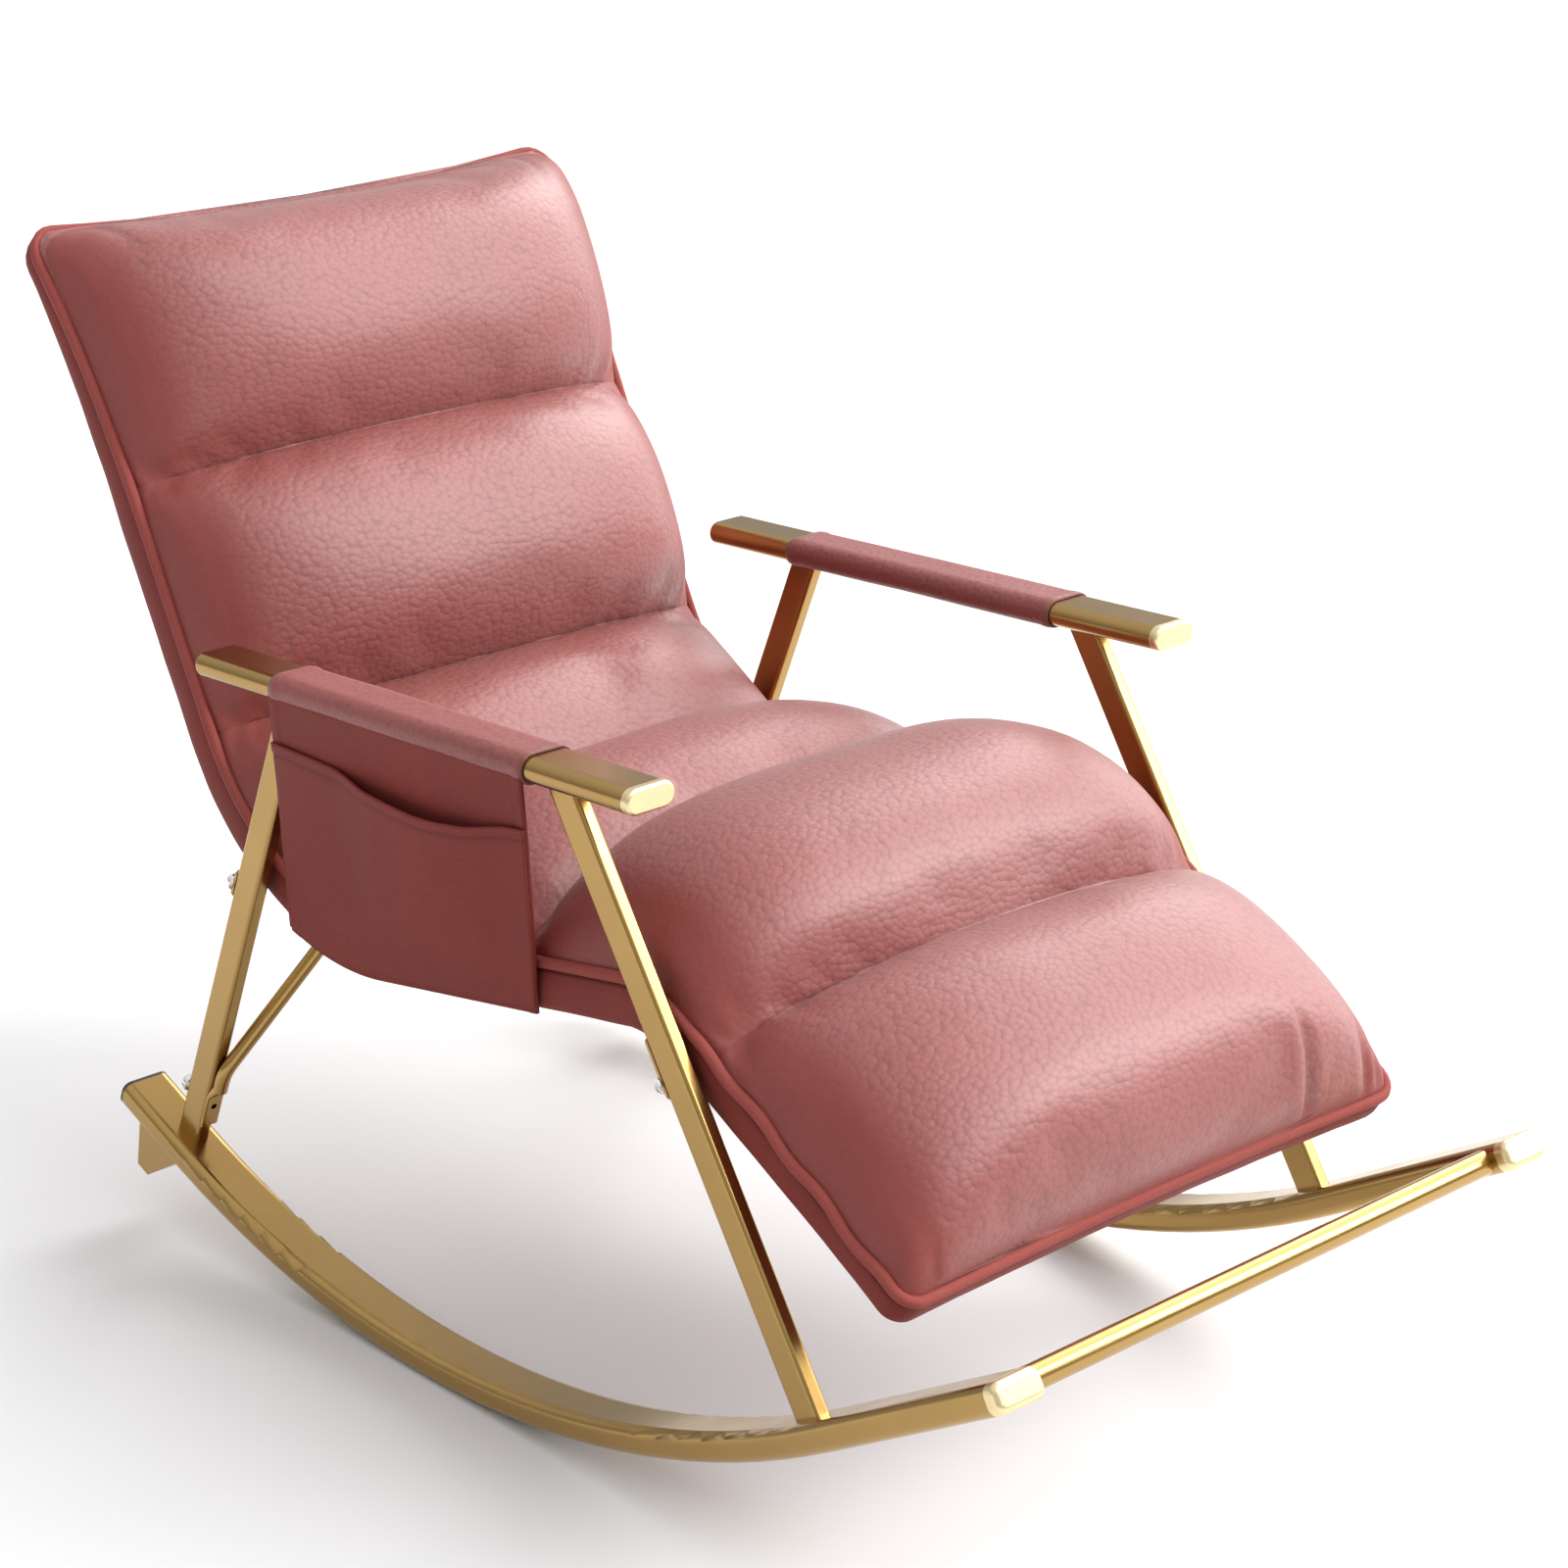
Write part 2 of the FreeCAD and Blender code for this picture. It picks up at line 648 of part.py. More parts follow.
def seat_shell():
    """Open tray under the cushion: leather sides and a cloth underside, slit at the hangers."""
    rim = -(WELT_DIAMETER / 2 + SOFT_GAP)
    outer = seat_slab(0.0, lambda s: -shell_depth(s), level(rim))
    inner = seat_slab(SHELL_WALL, lambda s: SHELL_WALL - shell_depth(s), level(SHELL_WALL))
    body = outer.cut(inner)
    for which in ("front", "rear"):
        for _, side in SIDES:
            body = body.cut(hanger_plate(which, side, SOFT_GAP))
    return max(body.Solids, key=lambda s: s.Volume)


def welt():
    """Round welt sewn along the whole edge of the seat."""
    head = end_edges("head", WELT_INSET, 0.0)
    foot = end_edges("foot", WELT_INSET, 0.0)
    parts = [sweep_round([head[2]]), sweep_round([foot[2]])]
    for side, ends in ((1, head[:2] + foot[:2]), (-1, head[3:] + foot[3:])):
        run = LINE.curve(HEAD_FLARE_LENGTH, KNEE_END, level(0.0))
        for edge in run:
            edge.translate(ACROSS * (side * (SEAT_HALF_WIDTH - WELT_INSET)))
        parts.append(sweep_round(run + ends))
    return fused(parts)


def sweep_round(edges):
    """Round cord along edges that run on smoothly."""
    path = Part.Wire(Part.__sortEdges__(edges))
    first = path.OrderedEdges[0]
    start = path.OrderedVertexes[0].Point
    heading = first.tangentAt(first.Curve.parameter(start))
    ring = Part.Wire(Part.makeCircle(WELT_DIAMETER / 2.0, start, heading))
    return path.makePipeShell([ring], True, False)


def seat_deck():
    """Cloth over the seat frame that the cushion rests on."""
    inset = WELT_INSET + WELT_DIAMETER / 2 + SOFT_GAP
    return seat_slab(inset, level(-DECK_THICK - SOFT_GAP), level(-SOFT_GAP))


def rail_centre():
    return SEAT_HALF_WIDTH - SHELL_WALL - RAIL_SIDE_GAP - RAIL_WIDTH / 2


def seat_rail(side):
    """Flat tube bent to the seat line."""
    start, end = RAIL_END_SETBACK, LINE.length - RAIL_END_SETBACK
    x = side * rail_centre()
    parts = []
    for low, high, _, angle, radius in LINE.pieces:
        a, b = max(low, start), min(high, end)
        origin, ahead, normal = LINE.frame(a)
        if radius:
            origin, ahead, normal = LINE.frame(low)[0], LINE.heading(angle), LINE.normal(angle)
        centre = origin - normal * RAIL_DROP + ACROSS * x
        face = section(centre, ACROSS, normal, RAIL_WIDTH, RAIL_THICK, RAIL_THICK / 2, TUBE_WALL)
        if radius:
            pivot = origin + normal * radius + ACROSS * x
            turn = math.degrees((high - low) / radius)
            parts.append(face.revolve(pivot, point(-1, 0, 0), turn))
        else:
            parts.append(face.extrude(ahead * (b - a)))
    return fused(parts)


def cross_tube(place):
    """Round tube between the two rails, cut to their sides."""
    centre = LINE.spot(place, -RAIL_DROP)
    _, ahead, normal = LINE.frame(place)
    half = rail_centre()
    tube = pipe(centre - ACROSS * half, centre + ACROSS * half, CROSS_TUBE_DIAMETER, TUBE_WALL)
    for _, side in SIDES:
        start = centre - ahead * RAIL_WIDTH + ACROSS * (side * half)
        rail = section(start, ACROSS, normal, RAIL_WIDTH, RAIL_THICK, RAIL_THICK / 2)
        tube = tube.cut(rail.extrude(ahead * (2 * RAIL_WIDTH)))
    return max(tube.Solids, key=lambda s: s.Volume)


def carrier_drop():
    """Depth of a carrier's middle line, so that it touches the rails from below."""
    return RAIL_DROP + RAIL_THICK / 2 + CARRIER_DIAMETER / 2


def carrier_setback():
    """From the leg's middle line back to the middle of the carrier behind its plates."""
    return LEG_DEPTH / 2 + HANGER_THICK + CARRIER_DIAMETER / 2 - WELD_SINK


def carrier_rise(which):
    """How far up the leg the carrier is, where it meets the rails from below."""
    foot, top = leg_line(which)
    up, back = leg_axes(which)
    low, high = 0.0, (top - foot).Length
    for _ in range(40):
        middle = (low + high) / 2
        if height_above_line(foot + back * carrier_setback() + up * middle) + carrier_drop() < 0:
            low = middle
        else:
            high = middle
    return low


def carrier_centre(which):
    """Middle of a carrier: under the rails and behind the plates on the legs."""
    up, back = leg_axes(which)
    return leg_line(which)[0] + back * carrier_setback() + up * carrier_rise(which)


def height_above_line(spot):
    """Signed distance of a side-view point from the seat line."""
    found = None
    for low, high, origin, angle, radius in LINE.pieces:
        if radius:
            centre = origin + LINE.normal(angle) * radius
            reach = centre.distanceToPoint(spot)
            value = radius - reach if radius > 0 else reach + radius
            away = (centre - spot) if radius > 0 else (spot - centre)
            turned = math.atan2(away.y, -away.z) % (2 * math.pi)
            place = low + (angle - turned) * radius
        else:
            offset = spot - origin
            place = low + offset.dot(LINE.heading(angle))
            value = offset.dot(LINE.normal(angle))
        if low <= place <= high and (found is None or abs(value) < abs(found)):
            found = value
    return found if found is not None else REACH


def carrier(which):
    """Round tube under the rails that carries the seat, with a plate at each end bolted to the leg."""
    centre = carrier_centre(which)
    half = SEAT_HALF_WIDTH - SHELL_WALL - RAIL_SIDE_GAP
    tube = pipe(centre - ACROSS * half, centre + ACROSS * half, CARRIER_DIAMETER, CARRIER_WALL)
    body = fused([tube] + [hanger_plate(which, side, 0.0) for _, side in SIDES])
    _, back = leg_axes(which)
    for _, side in SIDES:
        spot = seat_bolt_spot(which, side)
        body = body.cut(rod(spot, spot + back * LEG_DEPTH, BOLT_DIAMETER + BOLT_HOLE_CLEARANCE))
    return body


def hanger_plate(which, side, clearance):
    """Plate from the carrier out to the rear face of the leg."""
    up, back = leg_axes(which)
    bolt = seat_bolt_spot(which, 0) + back * (LEG_DEPTH / 2)
    rise = (carrier_centre(which) - bolt).dot(up)
    low = -HANGER_WIDTH / 2
    high = rise - HANGER_TOP_DROP
    inner = SEAT_HALF_WIDTH - RAIL_WIDTH
    outer = FRAME_HALF_SPACING + LEG_WIDTH / 2 - 1.0
    wide, tall, thick = outer - inner, high - low, HANGER_THICK
    middle = bolt + up * ((low + high) / 2) + ACROSS * (side * (inner + outer) / 2)
    grow = 2 * clearance
    face = section(middle - back * clearance, ACROSS, up, wide + grow, tall + grow, 4.0)
    return face.extrude(back * (thick + grow))


def webbing_straps():
    """Elastic straps from rail to rail under the deck."""
    lift = SOFT_GAP / 2
    low = RAIL_THICK / 2 - RAIL_DROP + lift
    first, last = CROSS_TUBE_SETBACK + STRAP_WIDTH, LINE.length - CROSS_TUBE_SETBACK - STRAP_WIDTH
    straps = []
    for i in range(STRAP_COUNT):
        middle = first + (last - first) * i / (STRAP_COUNT - 1)
        edges = (middle - STRAP_WIDTH / 2, middle + STRAP_WIDTH / 2)
        straps.append(LINE.strip(*edges, level(low), level(low + STRAP_THICK), rail_centre()))
    return Part.Compound(straps)


def pad_half_width(place):
    """Half width of the cushion's base, inside the welt."""
    inset = WELT_INSET + WELT_DIAMETER / 2 + SOFT_GAP
    width = SEAT_HALF_WIDTH - inset
    for end in ("head", "foot"):
        join, finish, flare, radius, _ = end_shape(end, inset)
        past = (place - join) * (1 if finish > join else -1)
        if past > 0:
            width += flare - math.sqrt(flare * flare - past * past)
        short = radius - abs(finish - place)
        if short > 0:
            width -= radius - math.sqrt(radius * radius - short * short)
    return width


def pad_section(place, height, draw_in):
    """Closed section of the cushion: flat base, full sides and a crowned top."""
    w = pad_half_width(place) - draw_in
    right = [(1.0, 0.0), (0.965, 0.33), (0.87, 0.60), (0.74, 0.79), (0.55, 0.92)]
    spots = [LINE.spot(place, SOFT_GAP + height * v, w * u) for u, v in right]
    mirrored = [LINE.spot(place, SOFT_GAP + height * v, -w * u) for u, v in right]
    top = LINE.spot(place, SOFT_GAP + height)
    return Part.Wire([
        line(mirrored[0], spots[0]),
        arc(*spots[0:3]),
        arc(*spots[2:5]),
        arc(spots[4], top, mirrored[4]),
        arc(*mirrored[4:1:-1]),
        arc(*mirrored[2::-1]),
    ])


def crown(share, low, high):
    """Height of a stuffed channel between two creases; the swell is full and its ends are steep."""
    swell = math.sqrt(1 - abs(2 * share - 1) ** 2.6)
    return low + (high - low) * swell


def cushion_pad(index):
    """One stuffed channel between two creases."""
    inset = WELT_INSET + WELT_DIAMETER / 2 + SOFT_GAP
    first, last = index == 0, index == len(CHANNEL_ENDS) - 1
    start = inset + 1.0 if first else CHANNEL_ENDS[index] + SOFT_GAP
    end = LINE.length - inset - 1.0 if last else CHANNEL_ENDS[index + 1] - SOFT_GAP
    crest = CREST_HEIGHTS[index]
    wires = []
    for share in (0.0, 0.07, 0.22, 0.5, 0.78, 0.93, 1.0):
        low = CREASE_HEIGHT
        if (first and share < 0.5) or (last and share > 0.5):
            low = EDGE_HEIGHT
        place = start + (end - start) * share
        draw_in = CREASE_DRAW_IN * abs(2 * share - 1) ** 3
        wires.append(pad_section(place, crown(share, low, crest), draw_in))
    pad = Part.makeLoft(wires, True, False)
    if first:
        pad = pad.common(end_prism("head", inset))
    if last:
        pad = pad.common(end_prism("foot", inset))
    return max(pad.Solids, key=lambda s: s.Volume)


def arm_sleeve(side):
    """Leather wrapped round the armrest tube."""
    gap = SOFT_GAP / 2
    inner = (ARM_WIDTH + 2 * gap, ARM_THICK + 2 * gap)
    outer = [size + 2 * SLEEVE_THICK for size in inner]
    ends = (SLEEVE_FRONT_Y, SLEEVE_REAR_Y)
    sleeve = arm_bar(side, *ends, *outer).cut(arm_bar(side, ends[0] - 1, ends[1] + 1, *inner))
    return clear_of_legs(sleeve, side)


def clear_of_legs(cloth, side):
    """Cloth or leather cut out round the two legs of one side."""
    for which in ("front", "rear"):
        cloth = cloth.cut(leg_blank(which, side, grow=SOFT_GAP))
    return max(cloth.Solids, key=lambda s: s.Volume)


def panel_rim(share):
    """Lower and upper point of the panel's inner side, from its front edge to its rear edge."""
    place = PANEL_FRONT_PLACE + (PANEL_REAR_PLACE - PANEL_FRONT_PLACE) * share
    low = LINE.spot(place, -SHELL_DEPTH, -(SEAT_HALF_WIDTH + SOFT_GAP))
    y = SLEEVE_FRONT_Y + (SLEEVE_REAR_Y - SLEEVE_FRONT_Y) * share
    high = point(-(FRAME_HALF_SPACING + ARM_WIDTH / 2 - PANEL_TOP_INSET), y, arm_height(y))
    return low, high


def pocket_panel():
    """Leather side panel from the right armrest's sleeve down to the shell's lower edge."""
    bend = (PANEL_FRONT_PLACE - LINE.pieces[2][0]) / (PANEL_FRONT_PLACE - PANEL_REAR_PLACE)
    (front, front_top), (middle, middle_top), (rear, rear_top) = [panel_rim(s) for s in (0.0, bend, 1.0)]
    halfway, _ = panel_rim((1 + bend) / 2)
    strips = [
        Part.makeRuledSurface(line(front, middle), line(front_top, middle_top)),
        Part.makeRuledSurface(arc(middle, halfway, rear), line(middle_top, rear_top)),
    ]
    body = fused([face.extrude(ACROSS * -PANEL_THICK) for face in strips])
    return clear_of_legs(body.cut(sleeve_envelope()), -1)


def sleeve_envelope():
    """The right armrest with its sleeve, a little larger and longer."""
    grow = 2 * (SLEEVE_THICK + SOFT_GAP)
    return arm_bar(-1, SLEEVE_FRONT_Y - 5, SLEEVE_REAR_Y + 5, ARM_WIDTH + grow, ARM_THICK + grow)


def pouch_section(y_top, mouth, gape):
    """Section of the pouch: sewn to the panel at its foot, standing off at its mouth."""
    share = (y_top - SLEEVE_FRONT_Y) / (SLEEVE_REAR_Y - SLEEVE_FRONT_Y)
    low, high = panel_rim(share)
    rise = (mouth - low.z) / (high.z - low.z)
    clear = PANEL_THICK + 2 * SOFT_GAP

    def put(height, stand):
        return low + (high - low) * (height * rise) - ACROSS * (clear + stand)

    t = POUCH_THICK
    return Part.Wire([
        arc(put(POUCH_HEM, 0), put(0.5, gape * 0.8), put(1, gape)),
        line(put(1, gape), put(1, gape + t)),
        arc(put(1, gape + t), put(0.5, gape * 0.8 + t), put(POUCH_HEM, t)),
        line(put(POUCH_HEM, t), put(POUCH_HEM, 0)),
    ])


def pocket_pouch():
    """Patch pocket with a low curved mouth, sewn flat at its front and rear edges."""
    high = POUCH_MOUTH_HEIGHT
    low = high - POUCH_MOUTH_DIP
    front, rear = SLEEVE_FRONT_Y + POUCH_FRONT_INSET, POUCH_MOUTH_REAR_Y
    stations = (
        (SLEEVE_FRONT_Y + 1.0, high + 5.0, 0.4),
        (front, high + 2.0, 1.0),
        (front + (rear - front) * 0.24, low + 7.0, POUCH_GAPE * 0.75),
        (front + (rear - front) * 0.5, low, POUCH_GAPE),
        (front + (rear - front) * 0.76, low + 2.0, POUCH_GAPE * 0.8),
        (rear, high, 1.2),
        ((rear + SLEEVE_REAR_Y) / 2, high, 0.6),
        (SLEEVE_REAR_Y - 1.0, high, 0.4),
    )
    body = Part.makeLoft([pouch_section(*station) for station in stations], True, False)
    return clear_of_legs(body, -1)


def bolt(spot, outward, stand_off, grip):
    """Domed bolt; its head sits on a face at the stand-off, and its shank reaches back by the grip."""
    seat = spot + outward * stand_off
    r, h = BOLT_HEAD_DIAMETER / 2, BOLT_HEAD_HEIGHT
    ball = (r * r + h * h) / (2 * h)
    dome = Part.makeSphere(ball, seat + outward * (h - ball))
    head = dome.common(rod(seat, seat + outward * (2 * h), BOLT_HEAD_DIAMETER + 1.0))
    return fused([head, rod(seat - outward * grip, seat, BOLT_DIAMETER - 0.2)])


def frame_bolts():
    """Four bolts that hold the seat and two that hold the brace, all with their heads to the rear."""
    bolts = []
    for _, side in SIDES:
        for which in ("front", "rear"):
            _, back = leg_axes(which)
            grip = HANGER_THICK + TUBE_WALL + NUT_HEIGHT + 2.0
            bolts.append(bolt(seat_bolt_spot(which, side), back, LEG_DEPTH / 2 + HANGER_THICK, grip))
        _, back = leg_axes("rear")
        bolts.append(bolt(brace_bolt_spot(side), back, LEG_DEPTH / 2, LEG_DEPTH + BRACE_TAB_THICK - 0.5))
    return Part.Compound(bolts)


def leg_nuts():
    """Nuts welded inside the legs for the seat bolts."""
    nuts = []
    for _, side in SIDES:
        for which in ("front", "rear"):
            up, back = leg_axes(which)
            face = seat_bolt_spot(which, side) + back * (LEG_DEPTH / 2 - TUBE_WALL - NUT_HEIGHT)
            r = NUT_WIDTH / math.sqrt(3)
            turns = [math.radians(60 * i) for i in range(7)]
            ring = [face + up * (r * math.cos(t)) + ACROSS * (r * math.sin(t)) for t in turns]
            hexagon = Part.Face(Part.makePolygon(ring)).extrude(back * NUT_HEIGHT)
            nut = hexagon.cut(rod(face - back, face + back * (NUT_HEIGHT + 1), BOLT_DIAMETER))
            nuts.append(nut.cut(leg_blank(which, side, TUBE_WALL)))
    return Part.Compound(nuts)


def build():
    pieces = {}
    for name, side in SIDES:
        pieces["runner_" + name] = runner_solid(side, TUBE_WALL)
        pieces["front_leg_" + name] = leg("front", side)
        pieces["rear_leg_" + name] = leg("rear", side)
        pieces["armrest_tube_" + name] = armrest_tube(side)
        for end in ("front", "rear"):
            pieces["armrest_" + end + "_cap_" + name] = armrest_cap(end, side)
            pieces["runner_" + end + "_cap_" + name] = runner_cap(end, side)
        pieces["rock_stop_" + name] = stop_block(side)
        pieces["seat_rail_" + name] = seat_rail(side)
        pieces["arm_sleeve_" + name] = arm_sleeve(side)
    pieces["front_crossbar"] = front_crossbar()
    pieces["rear_brace"] = rear_brace()
    pieces["head_cross_tube"] = cross_tube(CROSS_TUBE_SETBACK)
    pieces["back_cross_tube"] = cross_tube(BACK_TUBE_PLACE)
    pieces["foot_cross_tube"] = cross_tube(LINE.length - CROSS_TUBE_SETBACK)
    pieces["front_carrier"] = carrier("front")
    pieces["rear_carrier"] = carrier("rear")
    pieces["webbing_straps"] = webbing_straps()
    pieces["seat_shell"] = seat_shell()
    pieces["seat_deck"] = seat_deck()
    pieces["seat_welt"] = welt()
    for index, name in enumerate(("head", "back", "waist", "seat", "thigh", "calf")):
        pieces[name + "_cushion"] = cushion_pad(index)
    pieces["pocket_panel"] = pocket_panel()
    pieces["pocket_pouch"] = pocket_pouch()
    pieces["frame_bolts"] = frame_bolts()
    pieces["leg_nuts"] = leg_nuts()
    return pieces


def centred(pieces):
    """Move the chair so that the origin is at the bottom centre of its box."""
    box = Part.Compound(list(pieces.values())).optimalBoundingBox(False)
    shift = point(-box.Center.x, -box.Center.y, -box.ZMin)
    for shape in pieces.values():
        shape.translate(shift)
    return shift


def main():
    os.makedirs("parts", exist_ok=True)
    pieces = build()
    shift = centred(pieces)
    print("moved by", [round(v, 3) for v in shift])
    for name, shape in pieces.items():
        shape.exportStep("parts/" + name + ".step")
        print(name, len(shape.Solids), "valid" if shape.isValid() else "INVALID", round(shape.Volume))


main()
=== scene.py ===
import bpy
import math
import numpy as np
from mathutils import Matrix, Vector, noise


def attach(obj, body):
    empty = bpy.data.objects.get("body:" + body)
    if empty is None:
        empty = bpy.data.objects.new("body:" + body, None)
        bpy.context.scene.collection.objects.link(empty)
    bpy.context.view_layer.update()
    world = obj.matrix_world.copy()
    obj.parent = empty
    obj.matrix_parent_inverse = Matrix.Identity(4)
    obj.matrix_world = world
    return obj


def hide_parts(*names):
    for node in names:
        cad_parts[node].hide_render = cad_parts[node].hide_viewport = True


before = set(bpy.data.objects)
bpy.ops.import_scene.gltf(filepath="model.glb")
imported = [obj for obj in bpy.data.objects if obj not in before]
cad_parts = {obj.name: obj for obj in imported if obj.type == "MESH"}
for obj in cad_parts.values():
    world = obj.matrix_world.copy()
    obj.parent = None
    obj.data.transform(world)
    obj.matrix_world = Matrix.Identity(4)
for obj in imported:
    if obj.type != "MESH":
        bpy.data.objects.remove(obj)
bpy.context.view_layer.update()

# Metres throughout. The chair faces -Y, and its pocket is at -X, on the sitter's right.

# Seat line: the welted edge seen from the side, from the head to the foot
ROW_SHIFT_Y = 0.0039
BEND_Y = 0.194 + ROW_SHIFT_Y
SEAT_LOW_HEIGHT = 0.379
BACK_LENGTH = 0.468
BACK_SLOPE = math.radians(62.6)
BEND_RADIUS = 0.225
SEAT_SLOPE = math.radians(10.0)
SEAT_LENGTH = 0.324
KNEE_RADIUS = 0.120
CALF_SLOPE = math.radians(30.0)
CALF_LENGTH = 0.300

# The head end curls back a little
HEAD_CURL_LENGTH = 0.140
HEAD_CURL = 0.010
HEAD_STRETCH = 0.010

# Outline of the lounge seen square on
HALF_WIDTH = 0.285
HEAD_FLARE_LENGTH = 0.300
HEAD_FLARE_RADIUS = 2.5
FOOT_FLARE_RADIUS = 7.5
HEAD_CORNER = 0.026
FOOT_CORNER = 0.020
HEAD_SWEEP = math.radians(5.0)
FOOT_SWEEP = math.radians(2.0)

# Shell and welt
HEAD_SHELL_DEPTH = 0.026
SHELL_DEPTH = 0.045
FOOT_SHELL_DEPTH = 0.032
HEAD_TAPER_LENGTH = 0.260
SHELL_WALL = 0.003
WELT_RADIUS = 0.0055
WELT_INSET = 0.001
SOFT_GAP = 0.0003

# Cushion channels
CHANNEL_ENDS = (0.0, 0.238, 0.470, 0.708, 0.946, 1.201)
CHANNEL_NAMES = ("head", "back", "waist", "seat", "thigh", "calf")
CREST_HEIGHTS = (0.106, 0.108, 0.110, 0.114, 0.114, 0.108)
CREASE_HEIGHT = 0.058
END_HEIGHT = 0.004

# Armrests
ARM_X = 0.300
ARM_FRONT_Y = -0.222 + ROW_SHIFT_Y
ARM_FRONT_HEIGHT = 0.612
ARM_FALL = math.radians(2.9)
ARM_WIDTH = 0.050
ARM_THICK = 0.022
SLEEVE_FRONT_Y = -0.102 + ROW_SHIFT_Y
SLEEVE_REAR_Y = 0.240 + ROW_SHIFT_Y
SLEEVE_THICK = 0.0022

# Pocket
PANEL_FRONT_PLACE = 0.971
PANEL_REAR_PLACE = 0.644
PANEL_THICK = 0.0022
PANEL_TOP_INSET = 0.003
POUCH_THICK = 0.0018
POUCH_GAPE = 0.011
POUCH_MOUTH_HEIGHT = 0.543
POUCH_MOUTH_DIP = 0.022


# Shader maths

class Value:
    """A socket in a finish's node tree; arithmetic on it adds Math nodes."""

    def __init__(self, finish, socket):
        self.finish = finish
        self.socket = socket

    def math(self, operation, *others):
        return self.finish.node("ShaderNodeMath", {"operation": operation}, [self, *others])

    def __add__(self, other):
        return self.math("ADD", other)

    __radd__ = __add__

    def __sub__(self, other):
        return self.math("SUBTRACT", other)

    def __rsub__(self, other):
        return self.finish.node("ShaderNodeMath", {"operation": "SUBTRACT"}, [other, self])

    def __mul__(self, other):
        return self.math("MULTIPLY", other)

    __rmul__ = __mul__

    def ramp(self, low, high):
        """0 below low, 1 above high, smooth between."""
        inputs = {"Value": self, "From Min": low, "From Max": high}
        return self.finish.node("ShaderNodeMapRange", {"interpolation_type": "SMOOTHSTEP"}, inputs)


class Finish:
    """A material with its shader, built from nodes."""

    def __init__(self, name, colour, **shader):
        self.material = bpy.data.materials.new(name)
        self.material.use_nodes = True
        self.tree = self.material.node_tree
        self.shader = self.tree.nodes["Principled BSDF"]
        self.shader.inputs["Base Color"].default_value = (*colour, 1.0)
        for socket, value in shader.items():
            self.shader.inputs[socket.replace("_", " ")].default_value = value
        self.place = self.node("ShaderNodeTexCoord", output="Object")

    def node(self, kind, settings=None, inputs=None, output=0):
        made = self.tree.nodes.new(kind)
        for key, value in (settings or {}).items():
            setattr(made, key, value)
        pairs = inputs.items() if isinstance(inputs, dict) else enumerate(inputs or ())
        for key, value in pairs:
            if isinstance(value, Value):
                self.tree.links.new(value.socket, made.inputs[key])
            else:
                made.inputs[key].default_value = value
        return Value(self, made.outputs[output])

    def drive(self, socket, value):
        self.tree.links.new(value.socket, self.shader.inputs[socket])

    def blend(self, share, low, high):
        """Colour from low to high by the share."""
        low, high = [c if isinstance(c, Value) else (*c, 1.0) for c in (low, high)]
        return self.node("ShaderNodeMix", {"data_type": "RGBA"}, {0: share, 6: low, 7: high}, output=2)

    def clouds(self, scale, detail):
        inputs = {"Vector": self.place, "Scale": scale, "Detail": detail, "Roughness": 0.5}
        return self.node("ShaderNodeTexNoise", None, inputs)

    def warped(self, scale, amount):
        """Place pushed about by noise, so that a pattern on it isn't regular."""
        inputs = {"Vector": self.place, "Scale": scale, "Detail": 2.0}
        push = self.node("ShaderNodeTexNoise", None, inputs, "Color")
        push = self.node("ShaderNodeVectorMath", {"operation": "SCALE"}, {0: push, "Scale": amount})
        return self.node("ShaderNodeVectorMath", {"operation": "ADD"}, [self.place, push])

    def painted(self, name):
        """Share painted on the mesh's points under a name."""
        settings = {"attribute_type": "GEOMETRY", "attribute_name": name}
        return self.node("ShaderNodeAttribute", settings, output="Fac")

    def emboss(self, height, depth):
        bump = self.node("ShaderNodeBump", None, {"Strength": 1.0, "Distance": depth, "Height": height})
        self.drive("Normal", bump)


def shade(colour, factor):
    return tuple(c * factor for c in colour)


LEATHER_PINK = (0.240, 0.052, 0.043)
SIDE_PINK = (0.205, 0.036, 0.029)
GOLD = (0.420, 0.262, 0.085)
PALE_GOLD = (0.82, 0.66, 0.38)
DARK_PLASTIC = (0.030, 0.019, 0.011)
BLACK_STEEL = (0.06, 0.06, 0.06)
BRIGHT_CHROME = (0.86, 0.85, 0.84)
SCUFFED_CHROME = (0.66, 0.65, 0.63)
DECK_GREY = (0.05, 0.04, 0.04)
STRAP_GREY = (0.07, 0.06, 0.06)
PEBBLE_STRETCH = (0.78, 1.0, 1.0)
CLOSE_GRAIN = 620.0  # grains to a metre


